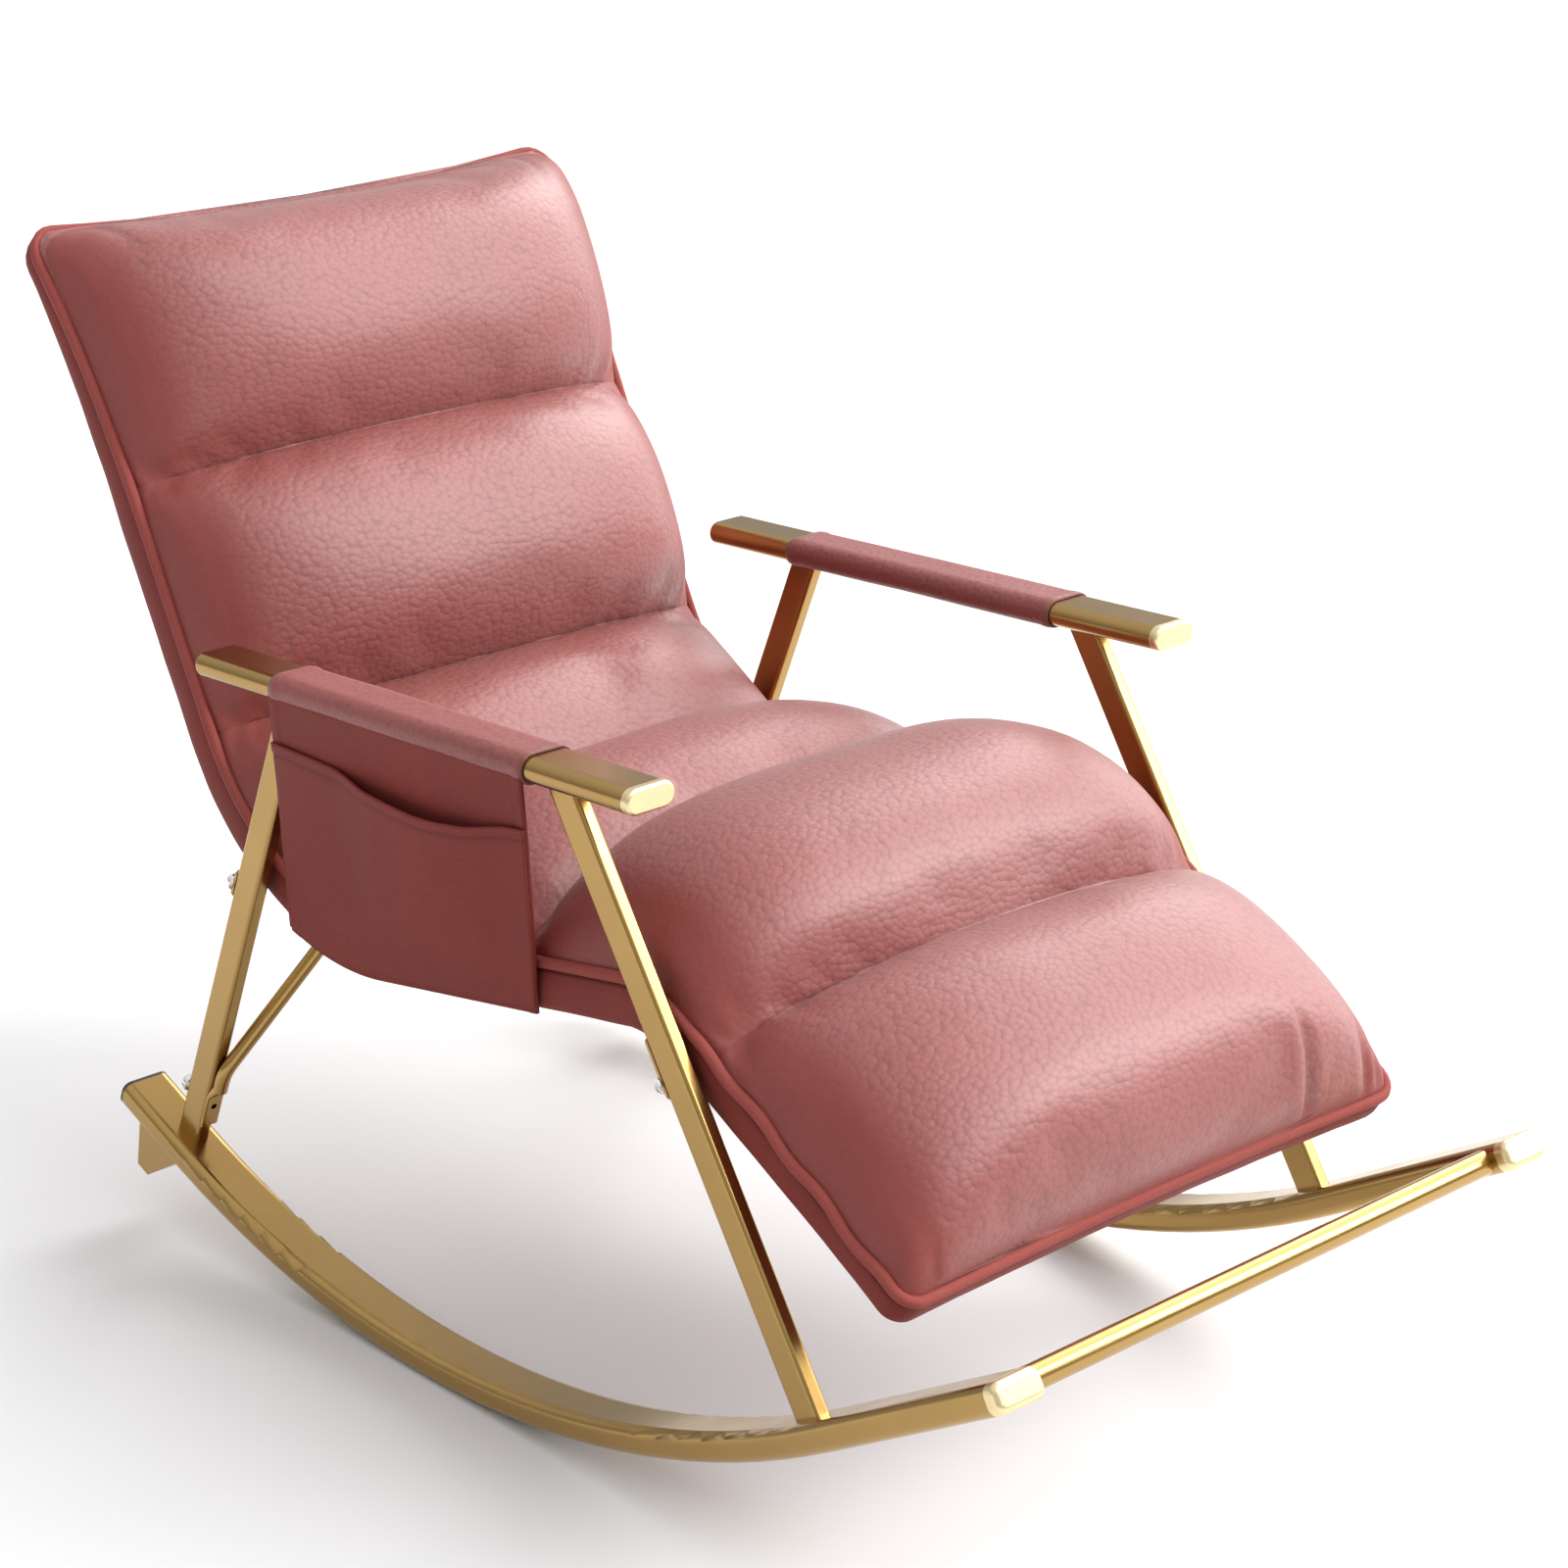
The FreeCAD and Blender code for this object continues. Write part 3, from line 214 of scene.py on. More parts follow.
def pebbled_leather(name, colour, pebble, depth, gloss):
    """Leather with raised pebbles of about a size, which fade out towards its side faces, where it also
    turns darker as painted shade.
    """
    finish = Finish(name, colour, Sheen_Weight=0.08, Sheen_Roughness=0.45, Specular_IOR_Level=0.42)
    finish.shader.inputs["Coat Roughness"].default_value = 0.46
    place = finish.warped(80.0, 0.0016)
    place = finish.node("ShaderNodeVectorMath", {"operation": "MULTIPLY"}, [place, PEBBLE_STRETCH])
    away = finish.node("ShaderNodeTexVoronoi", None, {"Vector": place, "Scale": 1.0 / pebble}, "Distance")
    swell = 1.0 - away * away * 1.5
    fine = finish.clouds(900.0, 3.0)
    broad = finish.clouds(7.0, 2.0)
    painted_shade_and_seams, side = finish.painted("painted_shade_and_seams"), finish.painted("side")
    tone = finish.blend(swell, shade(colour, 0.80), colour)
    tone = finish.blend(broad.ramp(0.35, 0.70) * 0.25, tone, shade(colour, 1.12))
    # Painted shade: side walls and base blend to the darker, redder side colour.
    tone = finish.blend(side * 0.8, tone, SIDE_PINK)
    # Darker by the mesh's painted share: painted shade in creases, pleats, near the base and at sleeve
    # ends, and darker lines along seams.
    tone = finish.blend(painted_shade_and_seams, tone, shade(colour, 0.50))
    finish.drive("Base Color", tone)
    finish.drive("Roughness", 0.54 - swell * 0.05 + fine * 0.05)
    finish.drive("Coat Weight", gloss - side * gloss)
    finish.emboss((swell + fine * 0.08) * (1.0 - side * 0.75), depth)
    return finish


def smooth_leather(name, colour):
    """Leather with a fine close grain, as on the sides."""
    finish = Finish(name, colour, Specular_IOR_Level=0.12)
    place = finish.warped(200.0, 0.0015)
    settings = {"feature": "DISTANCE_TO_EDGE"}
    inputs = {"Vector": place, "Scale": CLOSE_GRAIN}
    edge = finish.node("ShaderNodeTexVoronoi", settings, inputs, "Distance")
    grain = edge.ramp(0.0, 0.30)
    broad = finish.clouds(9.0, 2.0)
    painted_shade_and_seams = finish.painted("painted_shade_and_seams")
    tone = finish.blend(grain, shade(colour, 0.86), colour)
    tone = finish.blend(broad.ramp(0.3, 0.75) * 0.35, tone, shade(colour, 1.18))
    # Darker by the mesh's painted share: painted shade below the welt and on its underside, and darker
    # lines along seams and edges.
    tone = finish.blend(painted_shade_and_seams, tone, shade(colour, 0.55))
    finish.drive("Base Color", tone)
    finish.drive("Roughness", 0.52 - grain * 0.06 + broad * 0.08)
    finish.emboss(grain + broad * 0.6, 0.0002)
    return finish


def satin_tube(name, colour, roughness):
    """Plated tube: satin, with faint smudges and a little wear."""
    finish = Finish(name, colour, Metallic=1.0, Roughness=roughness, Coat_Weight=0.15, Coat_Roughness=0.10)
    smudge = finish.clouds(12.0, 3.0)
    specks = finish.clouds(900.0, 2.0)
    tone = finish.blend(smudge.ramp(0.35, 0.70) * 0.30, colour, shade(colour, 0.84))
    tone = finish.blend(specks.ramp(0.66, 0.82) * 0.15, tone, shade(colour, 1.20))
    finish.drive("Base Color", tone)
    finish.drive("Roughness", roughness + smudge.ramp(0.3, 0.8) * 0.06 + (specks - 0.5) * 0.02)
    finish.emboss(specks, 0.000004)
    return finish


def woven_cloth(name, colour, pitch):
    """Plain weave, for the deck and the straps inside the seat."""
    finish = Finish(name, colour, Roughness=0.9, Sheen_Weight=0.2)
    waves = []
    for direction in ("X", "Y"):
        settings = {"wave_type": "BANDS", "bands_direction": direction}
        inputs = {"Vector": finish.place, "Scale": 0.31 / pitch, "Distortion": 0.4, "Detail": 1.0}
        waves.append(finish.node("ShaderNodeTexWave", settings, inputs, "Fac"))
    weave = waves[0] * waves[1]
    blotch = finish.clouds(20.0, 3.0)
    tone = finish.blend(weave, shade(colour, 0.55), shade(colour, 1.25))
    finish.drive("Base Color", finish.blend(blotch.ramp(0.4, 0.8) * 0.3, tone, shade(colour, 1.6)))
    finish.drive("Roughness", 0.95 - weave * 0.15)
    finish.emboss(weave, 0.0002)
    return finish


def moulded_cap(name, colour, roughness):
    """Moulded plastic cap: faint orange peel and dust."""
    finish = Finish(name, colour, Coat_Weight=0.4, Coat_Roughness=0.15)
    peel = finish.clouds(700.0, 2.0)
    dust = finish.clouds(45.0, 3.0)
    finish.drive("Base Color", finish.blend(dust.ramp(0.45, 0.8) * 0.25, colour, shade(colour, 1.2)))
    finish.drive("Roughness", roughness + dust.ramp(0.4, 0.8) * 0.12)
    finish.emboss(peel, 0.00004)
    return finish


def bright_bolt(name):
    """Polished head with fine scuffs."""
    finish = Finish(name, BRIGHT_CHROME, Metallic=1.0)
    scuff = finish.clouds(500.0, 3.0)
    finish.drive("Base Color", finish.blend(scuff.ramp(0.4, 0.8) * 0.4, BRIGHT_CHROME, SCUFFED_CHROME))
    finish.drive("Roughness", 0.10 + scuff.ramp(0.45, 0.8) * 0.15)
    finish.emboss(scuff, 0.00002)
    return finish


FINISHES = {
    "cushion": pebbled_leather("cushion_leather", LEATHER_PINK, 0.0052, 0.00062, 0.80),
    "sleeve": pebbled_leather("sleeve_leather", LEATHER_PINK, 0.0046, 0.00035, 0.30),
    "side": smooth_leather("side_leather", SIDE_PINK),
    "pocket": smooth_leather("pocket_leather", shade(SIDE_PINK, 1.02)),
    "welt": smooth_leather("welt_leather", shade(LEATHER_PINK, 1.15)),
    "gold": satin_tube("gold_tube", GOLD, 0.21),
    "pale_gold": satin_tube("pale_gold_cap", PALE_GOLD, 0.34),
    "dark_cap": moulded_cap("dark_cap", DARK_PLASTIC, 0.45),
    "steel": satin_tube("black_steel", BLACK_STEEL, 0.45),
    "bolt": bright_bolt("bright_bolt"),
    "deck": woven_cloth("deck_cloth", DECK_GREY, 0.0012),
    "strap": woven_cloth("strap_elastic", STRAP_GREY, 0.0020),
}


# The seat line

def heading(angle):
    return Vector((0.0, math.cos(angle), math.sin(angle)))


def normal_of(angle):
    return Vector((0.0, math.sin(angle), -math.cos(angle)))


class SeatLine:
    """Back, bend, seat, knee and calf; a place is the distance from the head end."""

    def __init__(self):
        back, seat, calf = math.pi + BACK_SLOPE, math.pi - SEAT_SLOPE, math.pi + CALF_SLOPE
        centre = Vector((0.0, BEND_Y, SEAT_LOW_HEIGHT + BEND_RADIUS))
        self.end = centre - normal_of(back) * BEND_RADIUS - heading(back) * BACK_LENGTH
        self.angle = back
        self.length = 0.0
        self.pieces = []
        self.run(BACK_LENGTH)
        self.bend(BEND_RADIUS, seat)
        self.run(SEAT_LENGTH)
        self.bend(-KNEE_RADIUS, calf)
        self.run(CALF_LENGTH)

    def run(self, length):
        self.pieces.append((self.length, self.length + length, self.end, self.angle, 0.0))
        self.end = self.end + heading(self.angle) * length
        self.length += length

    def bend(self, radius, angle):
        length = abs(radius * (angle - self.angle))
        self.pieces.append((self.length, self.length + length, self.end, self.angle, radius))
        self.end = self.end + normal_of(self.angle) * radius - normal_of(angle) * radius
        self.angle = angle
        self.length += length

    def frame(self, place):
        for piece in self.pieces:
            if place <= piece[1]:
                break
        start, _, origin, angle, radius = piece
        if not radius:
            curl = max(0.0, 1 - place / HEAD_CURL_LENGTH) ** 2
            shift = heading(angle) * (-HEAD_STRETCH * curl) - normal_of(angle) * (HEAD_CURL * curl)
            return origin + heading(angle) * (place - start) + shift, normal_of(angle)
        turned = angle - (place - start) / radius
        return origin + (normal_of(angle) - normal_of(turned)) * radius, normal_of(turned)

    def spot(self, x, place, height):
        origin, normal = self.frame(place)
        return origin + normal * height + Vector((x, 0.0, 0.0))


LINE = SeatLine()
KNEE_END = LINE.pieces[3][1]


def shell_depth(place):
    if place < HEAD_TAPER_LENGTH:
        return HEAD_SHELL_DEPTH + (SHELL_DEPTH - HEAD_SHELL_DEPTH) * max(place, 0.0) / HEAD_TAPER_LENGTH
    share = max(0.0, (place - KNEE_END) / (LINE.length - KNEE_END))
    return SHELL_DEPTH + (FOOT_SHELL_DEPTH - SHELL_DEPTH) * share


def end_shape(end, inset):
    if end == "head":
        return HEAD_FLARE_LENGTH, inset, HEAD_FLARE_RADIUS + inset, HEAD_CORNER - inset, HEAD_SWEEP
    return KNEE_END, LINE.length - inset, FOOT_FLARE_RADIUS + inset, FOOT_CORNER - inset, FOOT_SWEEP


def half_width(place, inset):
    """Half width of the outline, drawn in by an inset, at a place along the seat."""
    width = HALF_WIDTH - inset
    for end in ("head", "foot"):
        join, finish, flare, radius, _ = end_shape(end, inset)
        past = (place - join) * (1 if finish > join else -1)
        if past > 0:
            width += flare - math.sqrt(flare * flare - past * past)
        short = radius - abs(finish - place)
        if short > 0 and radius > 0:
            width -= radius - math.sqrt(max(radius * radius - short * short, 0.0))
    return width


END_STEPS = 16
CORNER_STEPS = 6


def end_half(end, inset):
    """Right half of one end's edge, from the middle to where the corner meets the flare: (x, place)."""
    join, finish, flare, radius, sweep = end_shape(end, inset)
    radius = max(radius, 0.002)
    way = 1.0 if finish > join else -1.0
    turn = math.asin((abs(finish - join) - radius) / (flare + radius))
    ax = HALF_WIDTH - inset + flare * (1 - math.cos(turn))
    ay = join + way * flare * math.sin(turn)
    cx, cy = ax - radius * math.cos(turn), ay + way * radius * math.sin(turn)
    spots = []
    low = math.pi / 2 + sweep
    for i in range(CORNER_STEPS + 1):
        a = low + (-turn - low) * i / CORNER_STEPS
        spots.append((cx + radius * math.cos(a), cy + way * radius * math.sin(a)))
    bx, by = spots[0]
    bow = bx / math.sin(sweep)
    middle = []
    for i in range(END_STEPS):
        a = sweep * i / END_STEPS
        x = bow * math.sin(a)
        middle.append((x, by - way * bow * (math.cos(a) - math.cos(sweep))))
    return middle + spots


def outline(inset, step=0.008):
    """Right half of the outline from the middle of the head to the middle of the foot: (x, place)."""
    head, foot = end_half("head", inset), end_half("foot", inset)
    start, end = head[-1][1], foot[-1][1]
    count = round(LINE.length / step)
    side = [start + (end - start) * i / count for i in range(1, count)]
    return head + [(half_width(s, inset), s) for s in side] + foot[::-1]


# Meshes

def make_piece(name, points, faces, finish):
    mesh = bpy.data.meshes.new(name)
    mesh.from_pydata([tuple(p) for p in points], [], faces)
    mesh.update()
    mesh.validate()
    mesh.polygons.foreach_set("use_smooth", [True] * len(mesh.polygons))
    mesh.materials.append(FINISHES[finish].material)
    piece = bpy.data.objects.new(name, mesh)
    bpy.context.scene.collection.objects.link(piece)
    return piece


def subdivide(piece):
    """Rounds the piece by one level of subdivision and keeps the result as its mesh."""
    made = piece.modifiers.new("smooth", "SUBSURF")
    made.levels = made.render_levels = 1
    graph = bpy.context.evaluated_depsgraph_get()
    mesh = bpy.data.meshes.new_from_object(piece.evaluated_get(graph))
    old = piece.data
    piece.modifiers.clear()
    piece.data = mesh
    mesh.name = piece.name
    bpy.data.meshes.remove(old)


def read_points(mesh):
    flat = np.zeros(len(mesh.vertices) * 3)
    mesh.vertices.foreach_get("co", flat)
    return flat.reshape(-1, 3)


def read_normals(mesh):
    flat = np.zeros(len(mesh.vertices) * 3)
    mesh.vertex_normals.foreach_get("vector", flat)
    return flat.reshape(-1, 3)


def write_points(mesh, points):
    mesh.vertices.foreach_set("co", points.reshape(-1))
    mesh.update()


def paint(piece, name, shares):
    """Keeps a share from 0 to 1 on each point, for the finish to read."""
    layer = piece.data.attributes.get(name) or piece.data.attributes.new(name, "FLOAT", "POINT")
    layer.data.foreach_set("value", np.clip(np.asarray(shares, float), 0.0, 1.0))


def sheet_faces(rows, columns, closed=False):
    """Quads between rows of points, round each row too where it is closed."""
    faces = []
    width = columns if closed else columns - 1
    for i in range(rows - 1):
        for j in range(width):
            k = (j + 1) % columns
            faces.append((i * columns + j, i * columns + k, (i + 1) * columns + k, (i + 1) * columns + j))
    return faces


def ring_faces(rings, columns):
    """Quads over rings of points whose last ring meets the first."""
    faces = []
    for i in range(rings):
        n = (i + 1) % rings
        for k in range(columns):
            m = (k + 1) % columns
            faces.append((i * columns + k, i * columns + m, n * columns + m, n * columns + k))
    return faces


def slab_faces(rows, columns):
    """Faces of a closed thin piece whose points are one grid after another of the same size."""
    count = rows * columns
    faces = sheet_faces(rows, columns)
    faces += [tuple(count + i for i in quad[::-1]) for quad in sheet_faces(rows, columns)]
    rim = list(range(columns))
    rim += [i * columns + columns - 1 for i in range(1, rows)]
    rim += [(rows - 1) * columns + j for j in range(columns - 2, -1, -1)]
    rim += [i * columns for i in range(rows - 2, 0, -1)]
    for a, b in zip(rim, rim[1:] + rim[:1]):
        faces.append((b, a, count + a, count + b))
    return faces


def closed_sheet(name, face, back, finish):
    """Closed thin piece between two grids of points."""
    points = [p for row in face for p in row] + [p for row in back for p in row]
    return make_piece(name, points, slab_faces(len(face), len(face[0])), finish)


def dress(piece, node):
    """Lets the piece stand for one node of the frame."""
    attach(piece, "root")
    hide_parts(node)


# Cushion

CROSS_STEPS = 84
BASE_STEPS = 22
CHANNEL_STEPS = 34
WALL_HEIGHT = 0.024
LENGTH_POWER = 2.2  # 2 would be a half round from crease to crease
LENGTH_FALL = 0.72  # above 0.5 the valley at a crease is a soft one
END_POWER = 3.0
END_FALL = 0.52
EVEN_STEPS = 0.8  # below 1, stations lie closer at the creases
CROSS_EVENNESS = 0.6
CREST_CROWN = (4.0, 0.64)
CREASE_CROWN = (2.2, 0.8)
WALL_CROWN = (8, 0.5)
CREASE_DRAW_IN = 0.004
SIDE_BULGE = 0.008
BULGE_HEIGHT = 0.05
CUSHION_INSET = 0.0030
HEAD_INSET = 0.0020


def channel_rows():
    """Stations along the seat, close together at each crease: (channel, place, swell, open end)."""
    rows = []
    last = len(CHANNEL_NAMES) - 1
    for index in range(last + 1):
        start = HEAD_INSET if index == 0 else CHANNEL_ENDS[index]
        end = LINE.length - CUSHION_INSET if index == last else CHANNEL_ENDS[index + 1]
        for i in range(0 if index == 0 else 1, CHANNEL_STEPS + 1):
            turn = math.pi * i / CHANNEL_STEPS
            way = -math.copysign(abs(math.cos(turn)) ** EVEN_STEPS, math.cos(turn))
            open_end = (index == 0 and way < 0) or (index == last and way > 0)
            power, fall = (END_POWER, END_FALL) if open_end else (LENGTH_POWER, LENGTH_FALL)
            swell = (1 - abs(way) ** power) ** fall
            rows.append((index, start + (end - start) * (way + 1) / 2, swell, open_end))
    return rows


def crowned(u, crown):
    """1 in the middle of the seat, 0 at its sides."""
    return (1 - u ** crown[0]) ** crown[1]


def cushion_height(index, swell, open_end, u):
    """Height over the seat line at a share u of the half width."""
    crest = CREST_HEIGHTS[index] * crowned(u, CREST_CROWN)
    wall = WALL_HEIGHT * crowned(u, WALL_CROWN)
    if open_end:
        low = END_HEIGHT * crowned(u, WALL_CROWN)
        wall *= swell ** 0.7
    else:
        low = CREASE_HEIGHT * crowned(u, CREASE_CROWN)
    crown = low + (crest - low) * swell
    return (wall ** 4 + crown ** 4) ** 0.25


def end_sweep(index, place, x):
    """Pull of the swept head and foot edges, which fades out within the channel."""
    if index == 0:
        near, sweep = 1 - place / CHANNEL_ENDS[1], HEAD_SWEEP
    elif index == len(CHANNEL_NAMES) - 1:
        near, sweep = (place - CHANNEL_ENDS[-2]) / (LINE.length - CHANNEL_ENDS[-2]), -FOOT_SWEEP
    else:
        return 0.0
    return HALF_WIDTH * math.tan(sweep / 2) * (1 - x * x) * max(0.0, near) ** 3


def cushion_mesh():
    """Cover of the cushion as one closed mesh: crowned above, flat on the deck below."""
    points, marks = [], []
    for index, place, swell, open_end in channel_rows():
        width = half_width(place, CUSHION_INSET)
        if not open_end:
            width -= CREASE_DRAW_IN * (1 - swell) ** 2
        for j in range(CROSS_STEPS + 1):
            a = math.pi * j / CROSS_STEPS
            x = math.copysign(abs(math.cos(a)) ** CROSS_EVENNESS, math.cos(a))
            height = cushion_height(index, swell, open_end, abs(x))
            bulge = 1 + SIDE_BULGE * math.sin(math.pi * min(1.0, height / BULGE_HEIGHT)) * swell
            spot = place + end_sweep(index, place, x)
            points.append(LINE.spot(x * width * bulge, spot, height + SOFT_GAP))
            marks.append((swell, abs(x), open_end))
        for j in range(1, BASE_STEPS):
            x = 2 * j / BASE_STEPS - 1
            spot = place + end_sweep(index, place, x)
            points.append(LINE.spot(x * width, spot, SOFT_GAP))
            marks.append((swell, 2.0, open_end))
    columns = CROSS_STEPS + BASE_STEPS
    last = len(points) - columns
    faces = sheet_faces(len(points) // columns, columns, closed=True)
    ends = [tuple(range(columns))[::-1], tuple(range(last, len(points)))]
    return make_piece("channel_cushion", points, faces + ends, "cushion"), marks


def smoothed(move, rounds):
    """The cover's movement averaged between neighbours, along and across the seat."""
    grid = move.reshape(-1, CROSS_STEPS + BASE_STEPS, 3)
    for _ in range(rounds):
        across = (np.roll(grid, 1, axis=1) + np.roll(grid, -1, axis=1)) / 2
        along = grid.copy()
        along[1:-1] = (grid[2:] + grid[:-2]) / 2
        grid = 0.4 * grid + 0.3 * across + 0.3 * along
    return grid.reshape(-1, 3)


PRESSURE_FRAMES = 12
PRESSURE = 4.0
MOST_SWELL = 0.007
EVENING_ROUNDS = 6  # of averaging, which takes out the small dents
EVENED_SHARE = 0.75


def puff(piece, marks):
    """Blows the cover up under a light pressure, sewn down along its creases and its edge."""
    held = piece.vertex_groups.new(name="sewn")
    for i, (swell, u, open_end) in enumerate(marks):
        crease = not open_end and swell < 0.02 and u < 0.93
        if u > 0.995 or crease or (open_end and swell < 0.12):
            held.add([i], 1.0, "REPLACE")
    cloth = piece.modifiers.new("puff", "CLOTH")
    settings = cloth.settings
    settings.quality = 4
    settings.mass = 0.3
    settings.tension_stiffness = settings.compression_stiffness = 22.0
    settings.shear_stiffness = 12.0
    settings.bending_stiffness = 3.0
    settings.use_pressure = True
    settings.uniform_pressure_force = PRESSURE
    settings.effector_weights.gravity = 0.0
    settings.vertex_group_mass = held.name
    settings.shrink_min = -0.012
    cloth.collision_settings.use_collision = False
    cloth.point_cache.frame_end = PRESSURE_FRAMES
    start = read_points(piece.data)
    for number in range(1, PRESSURE_FRAMES + 1):
        bpy.context.scene.frame_set(number)
    graph = bpy.context.evaluated_depsgraph_get()
    result = bpy.data.meshes.new_from_object(piece.evaluated_get(graph))
    move = read_points(result) - start
    move = (1 - EVENED_SHARE) * move + EVENED_SHARE * smoothed(move, EVENING_ROUNDS)
    length = np.linalg.norm(move, axis=1)
    move *= np.minimum(1.0, MOST_SWELL / np.maximum(length, 1e-9))[:, None]
    bpy.data.meshes.remove(result)
    piece.modifiers.clear()
    piece.vertex_groups.clear()
    bpy.context.scene.frame_set(1)
    write_points(piece.data, start + move)


def seat_place(point):
    """Place and height of a point over the seat line, in the side view."""
    best = None
    for start, end, origin, angle, radius in LINE.pieces:
        if radius:
            centre = origin + normal_of(angle) * radius
            away = centre - point if radius > 0 else point - centre
            reach = math.hypot(away.y, away.z)
            height = radius - reach if radius > 0 else reach + radius
            turned = math.atan2(away.y, -away.z) % (2 * math.pi)
            place = start + (angle - turned) * radius
        else:
            offset = point - origin
            place = start + offset.dot(heading(angle))
            height = offset.dot(normal_of(angle))
        over = max(start - place, place - end, 0.0)
        if best is None or over < best[0]:
            best = (over, place, height)
    return best[1], best[2]


PLEATS = (
    # pleats sewn in at the ends: end, x at the edge, lean, reach up the cushion, depth
    ("foot", 0.172, -0.012, 0.105, 0.0056), ("foot", 0.250, -0.006, 0.050, 0.0040),
    ("foot", 0.268, -0.002, 0.036, 0.0035), ("foot", -0.262, 0.004, 0.040, 0.0016),
    ("head", 0.240, -0.010, 0.060, 0.0018), ("head", -0.246, 0.010, 0.055, 0.0018),
)
PLEAT_WIDTH = 0.0085
PLEAT_END = 0.110
PLEAT_FADE = 0.075
PLEAT_REACH = 1.3


def pleat_depth(x, height, head_end, foot_end):
    """Depth of the pleats at a point: a line with a fuller lip towards the middle."""
    depth = 0.0
    for end, start, lean, reach, most in PLEATS:
        past = head_end if end == "head" else foot_end
        share = height / reach
        if past > PLEAT_END or share > PLEAT_REACH:
            continue
        away = (x - start - lean * share) * (1 if start > 0 else -1) / PLEAT_WIDTH
        shape = math.exp(-away * away) if away > 0 else math.exp(-(away * 1.8) ** 2)
        lip = -0.35 * math.exp(-((away + 1.6) / 1.2) ** 2)
        fade = min(1.0, max(0.0, PLEAT_REACH - share) / 0.5) * min(1.0, 0.3 + share * 3)
        fade *= min(1.0, (PLEAT_END - past) / PLEAT_FADE) ** 1.5
        depth += most * (shape + lip) * fade
    return depth


BROAD_DIMPLE = 0.0018
SMALL_DIMPLE = 0.0005
PUCKER_DEPTH = 0.0007
PUCKER_REACH = 0.016
CREASE_SHADE_REACH = 0.0026
BASE_SHADE_REACH = 0.005
SIDE_START = 0.82
SIDE_HEIGHT = 0.030


def ridge_at(x, place):
    """Short ridges across a crease, of another pattern at each."""
    row = math.floor(place * 4.2) * 3.7
    return 1 - 2 * abs(noise.noise(Vector((x * 62.0, place * 9.0, row))))


def wrinkle(piece):
    """Soft dimples, short puckers that run off each crease, and pleats at the corners of the ends, with
    painted shade along the creases, in the pleats and towards the base.
    """
    mesh = piece.data
    points, normals = read_points(mesh), read_normals(mesh)
    painted_shade_and_seams, side = np.zeros(len(points)), np.zeros(len(points))
    for i, p in enumerate(points):
        spot = Vector(p)
        place, height = seat_place(spot)
        if height < 0.003:
            continue
        u = abs(spot.x) / half_width(min(max(place, 0.0), LINE.length), 0.007)
        edge = max(0.0, (u - 0.90) / 0.10)
        crease = min(abs(place - end) for end in CHANNEL_ENDS[1:])
        broad = noise.noise(spot * 8.0)
        small = noise.noise(spot * 21.0 + Vector((3.1, 5.7, 0)))
        pucker = math.exp(-crease / PUCKER_REACH) * PUCKER_DEPTH * (1 - min(1.0, edge))
        lift = broad * BROAD_DIMPLE + small * SMALL_DIMPLE + ridge_at(spot.x, place) * pucker
        pleat = pleat_depth(spot.x, height, place, LINE.length - place)
        lift -= pleat
        points[i] = p + normals[i] * lift * min(1.0, height / 0.02)
        # Painted shade: darker along each crease, near the base and in the pleats.
        line = math.exp(-crease / CREASE_SHADE_REACH) * (1 if u < 0.90 else max(0.0, 1 - edge * 2.2))
        painted_shade_and_seams[i] = 0.40 * line + 0.12 * math.exp(-height / BASE_SHADE_REACH) + 35.0 * max(0.0, pleat)
        # The side share gives painted shade on the side walls and along the base; it also fades their
        # pebbles and coat.
        side[i] = max(min(1.0, (u - SIDE_START) / 0.10), min(1.0, (SIDE_HEIGHT - height) / 0.02))
    write_points(mesh, points)
    paint(piece, "painted_shade_and_seams", painted_shade_and_seams)
    paint(piece, "side", side)


def make_cushion():
    cushion, marks = cushion_mesh()
    puff(cushion, marks)
    subdivide(cushion)
    wrinkle(cushion)
    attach(cushion, "root")
    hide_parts(*(name + "_cushion" for name in CHANNEL_NAMES))


# Shell, welt, deck and straps

def ring_points(inset, height):
    """Whole outline as points: down the right side and back up the left one."""
    half = outline(inset)
    right = [LINE.spot(x, s, height(s)) for x, s in half]
    left = [LINE.spot(-x, s, height(s)) for x, s in half]
    return right + left[-2:0:-1]


def tray(name, rings, finish):
    """Closed piece from rings of points; its first and last ring are filled across the seat."""
    columns = len(rings[0])
    points = [p for ring in rings for p in ring]
    faces = sheet_faces(len(rings), columns, closed=True)
    half = columns // 2
    for ring, way in ((0, 1), (len(rings) - 1, -1)):
        faces += filled(points, ring * columns, columns, half, way)
    return make_piece(name, points, faces, finish)


FILL_STEPS = 10


def filled(points, offset, columns, half, way):
    """Quads across a ring, between the points of its right and left sides."""
    faces = []
    rows = []
    for i in range(half + 1):
        right, left = offset + i, offset + (columns - i) % columns
        row = [right]
        if right != left:
            a, b = points[right], points[left]
            for k in range(1, FILL_STEPS):
                row.append(len(points))
                points.append(a.lerp(b, k / FILL_STEPS))
            row.append(left)
        else:
            row = [right] * (FILL_STEPS + 1)
        rows.append(row)
    for upper, lower in zip(rows, rows[1:]):
        for k in range(FILL_STEPS):
            quad = list(dict.fromkeys((upper[k], lower[k], lower[k + 1], upper[k + 1])))
            if len(quad) > 2:
                faces.append(tuple(quad[::way]))
    return faces


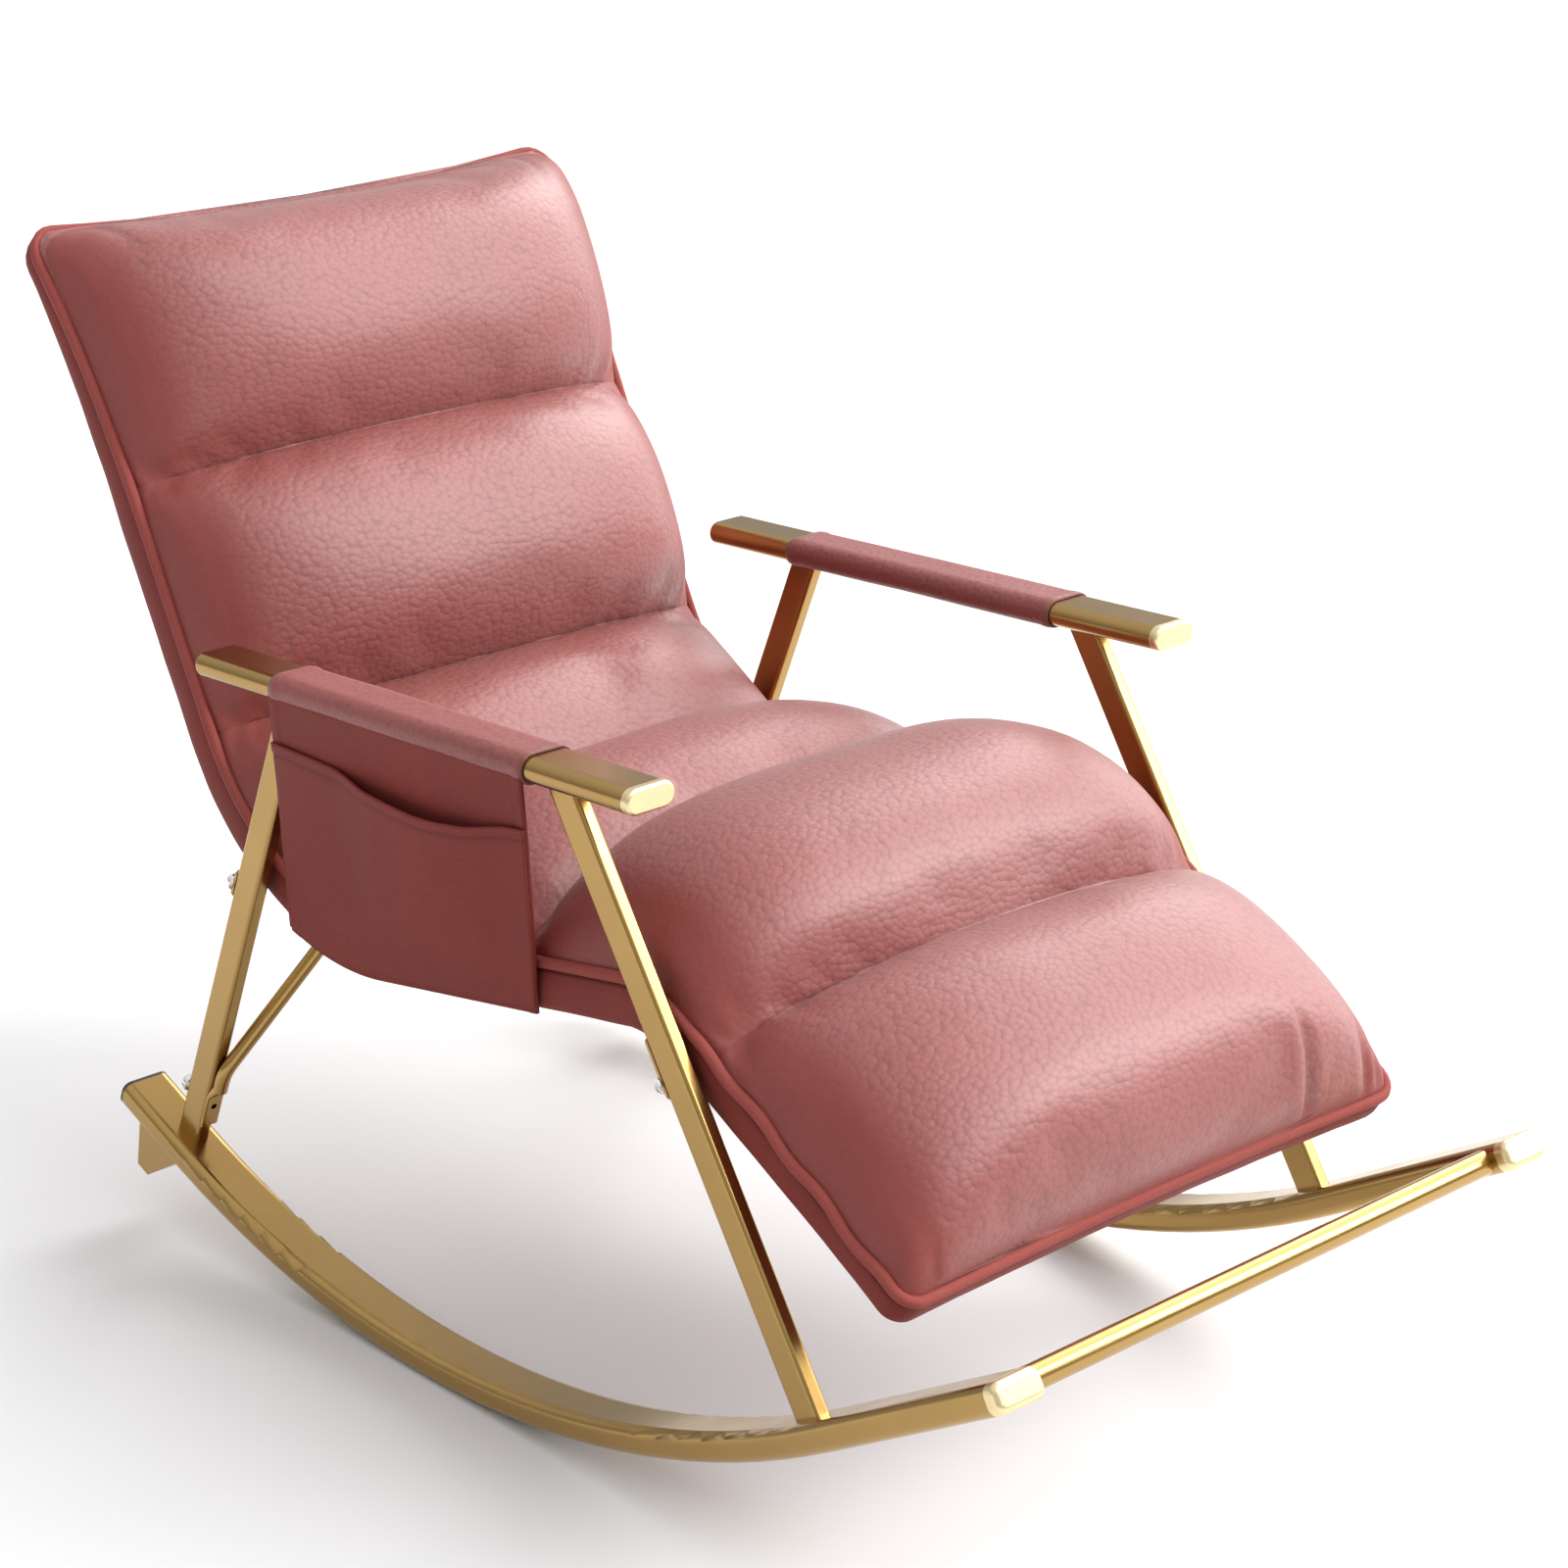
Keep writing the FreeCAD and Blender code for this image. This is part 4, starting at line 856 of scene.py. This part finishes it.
# Rings of the shell, from its underside round the outside and back in
SHELL_BASE = ((0.0150, 0.0), (0.0125, 0.0012), (0.0105, 0.0002))  # inset, height over the underside
SHELL_BAND = (
    # inset, share of the depth
    (0.0045, 0.91), (0.0012, 0.78), (-0.0004, 0.55), (-0.0006, 0.30), (0.0002, 0.10), (0.0014, 0.0),
)
SHELL_INSIDE = ((SHELL_WALL, 0.008), (0.0060, SHELL_WALL + 0.002), (0.0150, SHELL_WALL))


def shell_rings():
    rim = -(WELT_RADIUS + SOFT_GAP)
    rings = [ring_points(inset, lambda s, h=rise: h - shell_depth(s)) for inset, rise in SHELL_BASE]
    for inset, share in SHELL_BAND:
        rings.append(ring_points(inset, lambda s, q=share: rim + (-shell_depth(s) - rim) * q))
    rings.append(ring_points(SHELL_WALL, lambda s: rim))
    rings += [ring_points(inset, lambda s, h=rise: h - shell_depth(s)) for inset, rise in SHELL_INSIDE]
    return rings


def make_shell():
    """Leather tray: a puffed side band, a rolled lower edge and a seamed underside."""
    rings = shell_rings()
    shell = tray("seat_shell_cover", rings, "side")
    mesh = shell.data
    points, normals = read_points(mesh), read_normals(mesh)
    painted_shade_and_seams = np.zeros(len(points))
    for i, p in enumerate(points):
        spot = Vector(p)
        wave = noise.noise(spot * 9.0) * 0.0012 + noise.noise(spot * 28.0) * 0.0005
        points[i] = p + normals[i] * wave
        _, height = seat_place(spot)
        # Painted shade in a band just below the welt.
        painted_shade_and_seams[i] = 0.6 * math.exp(-abs(height + 0.0065) / 0.003)
    write_points(mesh, points)
    paint(shell, "painted_shade_and_seams", painted_shade_and_seams)
    dress(shell, "seat_shell")


FOOT_WAVE = 0.0022
FOOT_WAVES = 75.0  # radians to a metre
WELT_AROUND = 12
WELT_STEP = 0.004
HEAD_WELT_DROP = 0.003
HEAD_WELT_REACH = 0.030


def foot_wave(place):
    """The welt at the foot is a little wavy where the cover is gathered to it."""
    past = max(0.0, place - KNEE_END)
    return min(1.0, past / 0.05) * FOOT_WAVE * math.sin(past * FOOT_WAVES)


def make_welt():
    """Round cord in a leather strip, uneven where it is gathered, drawn in at the head."""
    half = outline(WELT_INSET, WELT_STEP)
    path = half + [(-x, s) for x, s in half[-2:0:-1]]
    centres = [LINE.spot(x, s, foot_wave(s)) for x, s in path]
    count = len(centres)
    points, painted_shade_and_seams = [], []
    for i, centre in enumerate(centres):
        ahead = (centres[(i + 1) % count] - centres[i - 1]).normalized()
        _, normal = LINE.frame(path[i][1])
        out = ahead.cross(normal).normalized()
        up = out.cross(ahead).normalized()
        head = max(0.0, 1 - path[i][1] / HEAD_WELT_REACH)
        centre = centre - normal * (HEAD_WELT_DROP * head)
        swell = WELT_RADIUS * (0.96 - 0.15 * head + 0.05 * noise.noise(centre * 60.0))
        for k in range(WELT_AROUND):
            a = 2 * math.pi * k / WELT_AROUND
            pinch = 0.86 if abs(math.sin(a)) > 0.95 and math.sin(a) < 0 else 1.0
            points.append(centre + (out * math.cos(a) + up * math.sin(a)) * swell * pinch)
            # Painted shade on the cord's underside.
            painted_shade_and_seams.append(0.5 * max(0.0, -math.sin(a)) ** 2)
    faces = ring_faces(count, WELT_AROUND)
    welt = make_piece("seat_welt_cord", points, faces, "welt")
    paint(welt, "painted_shade_and_seams", painted_shade_and_seams)
    dress(welt, "seat_welt")


DECK_FACES = (-0.0023, -0.0005)


def make_deck():
    """Cloth over the straps, which the cushion lies on."""
    inset = WELT_INSET + WELT_RADIUS + 2 * SOFT_GAP
    rings = [ring_points(inset, lambda s, h=height: h) for height in DECK_FACES]
    deck = tray("seat_deck_cloth", rings, "deck")
    dress(deck, "seat_deck")


STRAP_COUNT = 14
STRAP_WIDTH = 0.050
STRAP_SETBACK = 0.082
STRAP_HALF_LENGTH = 0.266
STRAP_FACES = (-0.0029, -0.0043)
STRAP_ROWS = 7
STRAP_COLUMNS = 9


def make_straps():
    """Elastic straps, each a flat band that follows the seat line."""
    points, faces = [], []
    first, last = STRAP_SETBACK, LINE.length - STRAP_SETBACK
    for i in range(STRAP_COUNT):
        middle = first + (last - first) * i / (STRAP_COUNT - 1)
        offset = len(points)
        for height, thinner in zip(STRAP_FACES, (-0.0003, 0.0003)):
            for k in range(STRAP_ROWS):
                place = middle + STRAP_WIDTH * (k / (STRAP_ROWS - 1) - 0.5)
                lift = thinner if k in (0, STRAP_ROWS - 1) else 0.0
                for j in range(STRAP_COLUMNS):
                    x = STRAP_HALF_LENGTH * (2 * j / (STRAP_COLUMNS - 1) - 1)
                    points.append(LINE.spot(x, place, height + lift))
        faces += [tuple(offset + v for v in face) for face in slab_faces(STRAP_ROWS, STRAP_COLUMNS)]
    straps = make_piece("webbing_bands", points, faces, "strap")
    dress(straps, "webbing_straps")


# Armrest sleeves and pocket

def arm_height(y):
    return ARM_FRONT_HEIGHT - (y - ARM_FRONT_Y) * math.tan(ARM_FALL)


def oval(width, height, count):
    """Points round a flat oval, from its outer end over the top."""
    radius, half = height / 2, (width - height) / 2
    bend = math.pi * radius
    spots = []
    for i in range(count // 2):
        past = (2 * half + bend) * i / (count // 2)
        if past < bend:
            a = past / radius - math.pi / 2
            spots.append((half + radius * math.cos(a), radius * math.sin(a)))
        else:
            spots.append((half + bend - past, radius))
    return spots + [(-x, -z) for x, z in spots]


HEM_SEAM = 0.001
SEAM_MARK = 0.0012


def hem_rise(from_edge, hem, groove, spread):
    """Rise of a hem, given as (width, rise), less the groove of the seam just past it."""
    width, rise = hem
    flat = rise if from_edge < width else 0.0
    return flat - groove * math.exp(-abs(from_edge - width - HEM_SEAM) / spread)


def seam_mark(from_edge, hem):
    """Dark line along the seam of a hem, as a share."""
    return math.exp(-abs(from_edge - hem[0] - HEM_SEAM) / SEAM_MARK)


SLEEVE_AROUND = 64
SLEEVE_ALONG = 70
SLEEVE_LENGTH = SLEEVE_REAR_Y - SLEEVE_FRONT_Y
SLEEVE_HEM = (0.011, 0.0009)
SLEEVE_SAG = 0.0007
SLEEVE_PLAY = 0.0004
EDGE_ROUND = 0.0012


def sleeve_ring(side, y, size, hem, sag):
    """Points round the armrest at one place along it, pushed out by a hem and an uneven sag."""
    ring = []
    for x, z in oval(ARM_WIDTH + size, ARM_THICK + size, SLEEVE_AROUND):
        lift = hem + sag * noise.noise(Vector((x * 30.0, y * 14.0, z * 30.0 + side * 4.0)))
        away = Vector((x, 0.0, z)).normalized() * lift
        ring.append(Vector((side * ARM_X + x, y, arm_height(y) + z)) + away)
    return ring


def make_sleeve(name, side):
    """Leather wrapped tight round the armrest, hemmed at both ends."""
    outside, inside = [], []
    for i in range(SLEEVE_ALONG + 1):
        share = i / SLEEVE_ALONG
        y = SLEEVE_FRONT_Y + SLEEVE_LENGTH * share
        from_end = min(share, 1 - share) * SLEEVE_LENGTH
        hem = hem_rise(from_end, SLEEVE_HEM, 0.0008, 0.0015)
        if from_end < EDGE_ROUND:
            hem -= 0.0008
        outside.append(sleeve_ring(side, y, 2 * SLEEVE_THICK, hem, SLEEVE_SAG))
        inside.append(sleeve_ring(side, y, SLEEVE_PLAY, 0.0, 0.0))
    rings = outside + inside[::-1]
    points = [p for ring in rings for p in ring]
    faces = [face[::-1] for face in ring_faces(len(rings), SLEEVE_AROUND)]
    sleeve = make_piece(name + "_sleeve", points, faces, "sleeve")
    painted_shade_and_seams = []
    for p in points:
        from_end = min(p.y - SLEEVE_FRONT_Y, SLEEVE_REAR_Y - p.y)
        # Darker lines along the hem seams, and painted shade at the sleeve's ends.
        painted_shade_and_seams.append(0.7 * seam_mark(from_end, SLEEVE_HEM) + 0.9 * math.exp(-from_end / EDGE_ROUND))
    paint(sleeve, "painted_shade_and_seams", painted_shade_and_seams)
    dress(sleeve, "arm_sleeve_" + name)


def panel_point(share, rise, stand):
    """Point over the panel: share from its front edge to its rear, rise from its foot to the armrest."""
    place = PANEL_FRONT_PLACE + (PANEL_REAR_PLACE - PANEL_FRONT_PLACE) * share
    low = LINE.spot(-(HALF_WIDTH + SOFT_GAP), place, -SHELL_DEPTH)
    y = SLEEVE_FRONT_Y + SLEEVE_LENGTH * share
    high = Vector((-(ARM_X + ARM_WIDTH / 2 - PANEL_TOP_INSET), y, arm_height(y)))
    out = (PANEL_TOP_INSET + SLEEVE_THICK - PANEL_THICK) * max(0.0, (rise - 0.55) / 0.45) ** 1.5
    return low.lerp(high, rise) - Vector((stand + out, 0.0, 0.0))


PANEL_ACROSS = 80
PANEL_UP = 64
PANEL_HEM = (0.010, 0.0007)
PANEL_WIDTH = 0.34
PANEL_WAVE = 0.0022
PANEL_SEAM_START = 0.97  # share of the rise where the panel thins out to its seam with the sleeve


def make_panel():
    """Side panel with hemmed edges, from the armrest to the shell's lower edge."""
    outer, inner, painted_shade_and_seams = [], [], []
    for i in range(PANEL_UP + 1):
        rise = i / PANEL_UP
        thinned = max(0.0, rise - PANEL_SEAM_START) / (1 - PANEL_SEAM_START)
        thick = PANEL_THICK * (1.15 - 0.8 * thinned)
        row_out, row_in = [], []
        for j in range(PANEL_ACROSS + 1):
            share = j / PANEL_ACROSS
            from_edge = min(share, 1 - share) * PANEL_WIDTH
            hem = hem_rise(from_edge, PANEL_HEM, 0.0005, 0.0015)
            wave = noise.noise(Vector((share * 3.0, rise * 2.5, 5.0))) * PANEL_WAVE
            wave *= math.sin(math.pi * rise)
            row_out.append(panel_point(share, rise, thick + hem + wave))
            row_in.append(panel_point(share, rise, wave))
            painted_shade_and_seams.append(0.55 * seam_mark(from_edge, PANEL_HEM) + 0.5 * math.exp(-from_edge / 0.001))
        outer.append(row_out)
        inner.append(row_in)
    panel = closed_sheet("pocket_panel_leather", inner, outer, "pocket")
    paint(panel, "painted_shade_and_seams", painted_shade_and_seams + painted_shade_and_seams)
    dress(panel, "pocket_panel")


POUCH_PROFILE = (
    # share from front to rear, mouth's height as a share of its dip, gape as a share
    (0.0, 1.45, 0.03), (0.053, 1.36, 0.10), (0.22, 0.73, 0.75), (0.40, 0.43, 1.0),
    (0.585, 0.52, 0.80), (0.755, 0.84, 0.12), (0.88, 0.86, 0.05), (1.0, 0.82, 0.03),
)
MOUTH, GAPE = 1, 2
POUCH_ACROSS = 90
POUCH_UP = 48
POUCH_HEM = (0.009, 0.0007)
POUCH_HEIGHT = 0.16
POUCH_FOOT = 0.02  # its lower edge, as a share of the panel's rise
POUCH_CRUMPLE = 0.0016


def slope_at(i, column):
    """Slope of the pouch's profile at a station, level where it turns back."""
    if i in (0, len(POUCH_PROFILE) - 1):
        return 0.0
    before, here, after = POUCH_PROFILE[i - 1:i + 2]
    rise_in = (here[column] - before[column]) / (here[0] - before[0])
    rise_out = (after[column] - here[column]) / (after[0] - here[0])
    if rise_in * rise_out <= 0:
        return 0.0
    return 2 * rise_in * rise_out / (rise_in + rise_out)


def smooth_between(share, column):
    """Value of the pouch's profile on a smooth curve through its stations."""
    for i, (a, b) in enumerate(zip(POUCH_PROFILE, POUCH_PROFILE[1:])):
        if share <= b[0]:
            span = b[0] - a[0]
            t = (share - a[0]) / span
            start, end = slope_at(i, column) * span, slope_at(i + 1, column) * span
            low = a[column] * (1 + 2 * t) * (1 - t) ** 2 + start * t * (1 - t) ** 2
            return low + b[column] * t * t * (3 - 2 * t) + end * t * t * (t - 1)
    return POUCH_PROFILE[-1][column]


def make_pouch():
    """Patch pocket that gapes at its mouth, with a hem along it."""
    outer, inner, painted_shade_and_seams = [], [], []
    clear = PANEL_THICK + 3 * SOFT_GAP
    low_mouth = POUCH_MOUTH_HEIGHT - POUCH_MOUTH_DIP
    for i in range(POUCH_UP + 1):
        up = i / POUCH_UP
        from_edge = (1 - up) * POUCH_HEIGHT
        thick = POUCH_THICK + hem_rise(from_edge, POUCH_HEM, 0.0006, 0.0012)
        row_out, row_in = [], []
        for j in range(POUCH_ACROSS + 1):
            share = j / POUCH_ACROSS
            mouth = low_mouth + POUCH_MOUTH_DIP * smooth_between(share, MOUTH)
            foot, head = panel_point(share, 0.0, 0.0), panel_point(share, 1.0, 0.0)
            reach = (mouth - foot.z) / (head.z - foot.z)
            rise = POUCH_FOOT + (reach - POUCH_FOOT) * up
            stand = POUCH_GAPE * smooth_between(share, GAPE) * math.sin(math.pi / 2 * up ** 0.8)
            crumple = noise.noise(Vector((share * 5.0, up * 2.0, 2.0))) * POUCH_CRUMPLE * up
            stand += clear + max(crumple, -0.0004)
            row_in.append(panel_point(share, rise, stand))
            row_out.append(panel_point(share, rise, stand + thick))
            painted_shade_and_seams.append(0.6 * seam_mark(from_edge, POUCH_HEM))
        outer.append(row_out)
        inner.append(row_in)
    pouch = closed_sheet("pocket_pouch_leather", inner, outer, "pocket")
    paint(pouch, "painted_shade_and_seams", painted_shade_and_seams + painted_shade_and_seams)
    dress(pouch, "pocket_pouch")


# Metal

BOLT_X = 0.3025
BOLT_PLACES = (
    # middle of the leg along the bolt, the way its rear face looks, and how far out the head sits
    ((-0.2561, 0.38695), (0.8399, -0.5427), 0.0180),
    ((0.3265, 0.36998), (0.9241, 0.3821), 0.0180),
    ((0.4198, 0.14421), (0.9241, 0.3821), 0.0150),
)
BOLT_PROFILE = (
    # radius and height over the face, from the shank's end to the top of the dome
    (0.0, -0.024), (0.0028, -0.024), (0.0028, 0.0), (0.0072, 0.0), (0.0078, 0.0006),
    (0.0078, 0.0016), (0.0072, 0.0022), (0.0071, 0.0040), (0.0066, 0.0060), (0.0053, 0.0078),
    (0.0032, 0.0090), (0.0, 0.0094),
)
BOLT_AROUND = 28


def make_bolts():
    """Six domed bolts on thin flanges, all with their heads to the rear."""
    points, faces = [], []
    for side in (-1, 1):
        for (y, z), (out_y, out_z), stand in BOLT_PLACES:
            out = Vector((0.0, out_y, out_z))
            up = Vector((0.0, -out_z, out_y))
            face = Vector((side * BOLT_X, y, z)) + out * stand
            offset = len(points)
            for radius, height in BOLT_PROFILE[1:-1]:
                for k in range(BOLT_AROUND):
                    a = 2 * math.pi * k / BOLT_AROUND
                    ring = Vector((math.cos(a), 0.0, 0.0)) + up * math.sin(a)
                    points.append(face + out * height + ring * radius)
            rings = len(BOLT_PROFILE) - 2
            wall = sheet_faces(rings, BOLT_AROUND, closed=True)
            faces += [tuple(offset + v for v in quad[::-1]) for quad in wall]
            for (_, height), ring, way in ((BOLT_PROFILE[0], 0, -1), (BOLT_PROFILE[-1], rings - 1, 1)):
                points.append(face + out * height)
                start = offset + ring * BOLT_AROUND
                for k in range(BOLT_AROUND):
                    faces.append((start + k, start + (k + 1) % BOLT_AROUND, len(points) - 1)[::way])
    bolts = make_piece("domed_bolts", points, faces, "bolt")
    dress(bolts, "frame_bolts")


NODE_FINISHES = {
    "gold": "front_crossbar rear_brace front_carrier rear_carrier",
    "steel": "head_cross_tube back_cross_tube foot_cross_tube leg_nuts",
}
PAIR_FINISHES = {
    "gold": "runner front_leg rear_leg armrest_tube rock_stop armrest_rear_cap",
    "pale_gold": "armrest_front_cap runner_front_cap",
    "dark_cap": "runner_rear_cap",
    "steel": "seat_rail",
}


def finish_node(name, finish):
    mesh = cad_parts[name].data
    mesh.materials.clear()
    mesh.materials.append(FINISHES[finish].material)


def finish_frame():
    for finish, names in NODE_FINISHES.items():
        for name in names.split():
            finish_node(name, finish)
    for finish, names in PAIR_FINISHES.items():
        for name in names.split():
            finish_node(name + "_left", finish)
            finish_node(name + "_right", finish)


# Stage, lights and camera

CAMERA_PLACE = (-2.1174, -2.3567 + ROW_SHIFT_Y, 1.6507)
CAMERA_LENS = 88.86
CAMERA_TILT = math.radians(69.842)
CAMERA_TURN = math.radians(-42.603)
FLOOR_COLOUR = (0.74, 0.737, 0.733)
FLOOR_REACH = 30.0


def make_floor():
    finish = Finish("pale_floor", FLOOR_COLOUR, Roughness=0.9, Specular_IOR_Level=0.2)
    dust = finish.clouds(3.0, 3.0).ramp(0.3, 0.8) * 0.3
    finish.drive("Base Color", finish.blend(dust, FLOOR_COLOUR, shade(FLOOR_COLOUR, 0.97)))
    FINISHES["floor"] = finish
    corners = [(x * FLOOR_REACH, y * FLOOR_REACH, 0) for x, y in ((-1, -1), (1, -1), (1, 1), (-1, 1))]
    floor = make_piece("pale_floor", corners, [(0, 1, 2, 3)], "floor")


def add_light(name, place, target, size, power):
    light = bpy.data.lights.new(name, "AREA")
    light.shape = "RECTANGLE"
    light.size, light.size_y = size
    light.energy = power
    lamp = bpy.data.objects.new(name, light)
    lamp.location = place
    lamp.rotation_euler = (Vector(target) - Vector(place)).to_track_quat("-Z", "Y").to_euler()
    bpy.context.scene.collection.objects.link(lamp)


def add_far_light(name, towards, spread, strength):
    """Even light from one way, as from a large window."""
    light = bpy.data.lights.new(name, "SUN")
    light.energy = strength
    light.angle = math.radians(spread)
    lamp = bpy.data.objects.new(name, light)
    lamp.rotation_euler = Vector(towards).to_track_quat("Z", "Y").to_euler()
    bpy.context.scene.collection.objects.link(lamp)


def make_sky():
    """Even white sky, dimmer towards the horizon."""
    world = bpy.data.worlds.new("studio")
    world.use_nodes = True
    tree = world.node_tree
    background = tree.nodes["Background"]
    background.inputs["Color"].default_value = (0.97, 0.98, 1.0, 1.0)
    place = tree.nodes.new("ShaderNodeTexCoord")
    split = tree.nodes.new("ShaderNodeSeparateXYZ")
    rise = tree.nodes.new("ShaderNodeMapRange")
    rise.interpolation_type = "SMOOTHSTEP"
    for socket, value in (("From Min", -0.1), ("From Max", 0.9), ("To Min", 0.35), ("To Max", 0.98)):
        rise.inputs[socket].default_value = value
    tree.links.new(place.outputs["Generated"], split.inputs[0])
    tree.links.new(split.outputs["Z"], rise.inputs["Value"])
    tree.links.new(rise.outputs["Result"], background.inputs["Strength"])
    bpy.context.scene.world = world


def make_lights():
    add_far_light("overhead_light", (0.30, -0.60, 0.74), 42.0, 2.2)
    add_far_light("far_side_light", (0.85, -0.05, 0.45), 60.0, 2.0)
    add_light("front_light", (2.1, -2.1, 1.9), (0.0, -0.2, 0.4), (0.9, 1.5), 52.0)
    add_light("side_light", (2.6, 1.0, 2.4), (0.0, 0.1, 0.6), (1.4, 1.8), 30.0)


def make_camera():
    camera = bpy.data.cameras.new("camera")
    camera.lens = CAMERA_LENS
    camera.sensor_width = 36.0
    camera.clip_end = 100.0
    holder = bpy.data.objects.new("camera", camera)
    holder.location = CAMERA_PLACE
    holder.rotation_euler = (CAMERA_TILT, 0.0, CAMERA_TURN)
    bpy.context.scene.collection.objects.link(holder)
    bpy.context.scene.camera = holder


make_camera()
make_floor()
make_sky()
make_lights()
finish_frame()
make_cushion()
make_shell()
make_welt()
make_deck()
make_straps()
make_sleeve("left", 1)
make_sleeve("right", -1)
make_panel()
make_pouch()
make_bolts()
bpy.context.scene.view_settings.view_transform = "Standard"
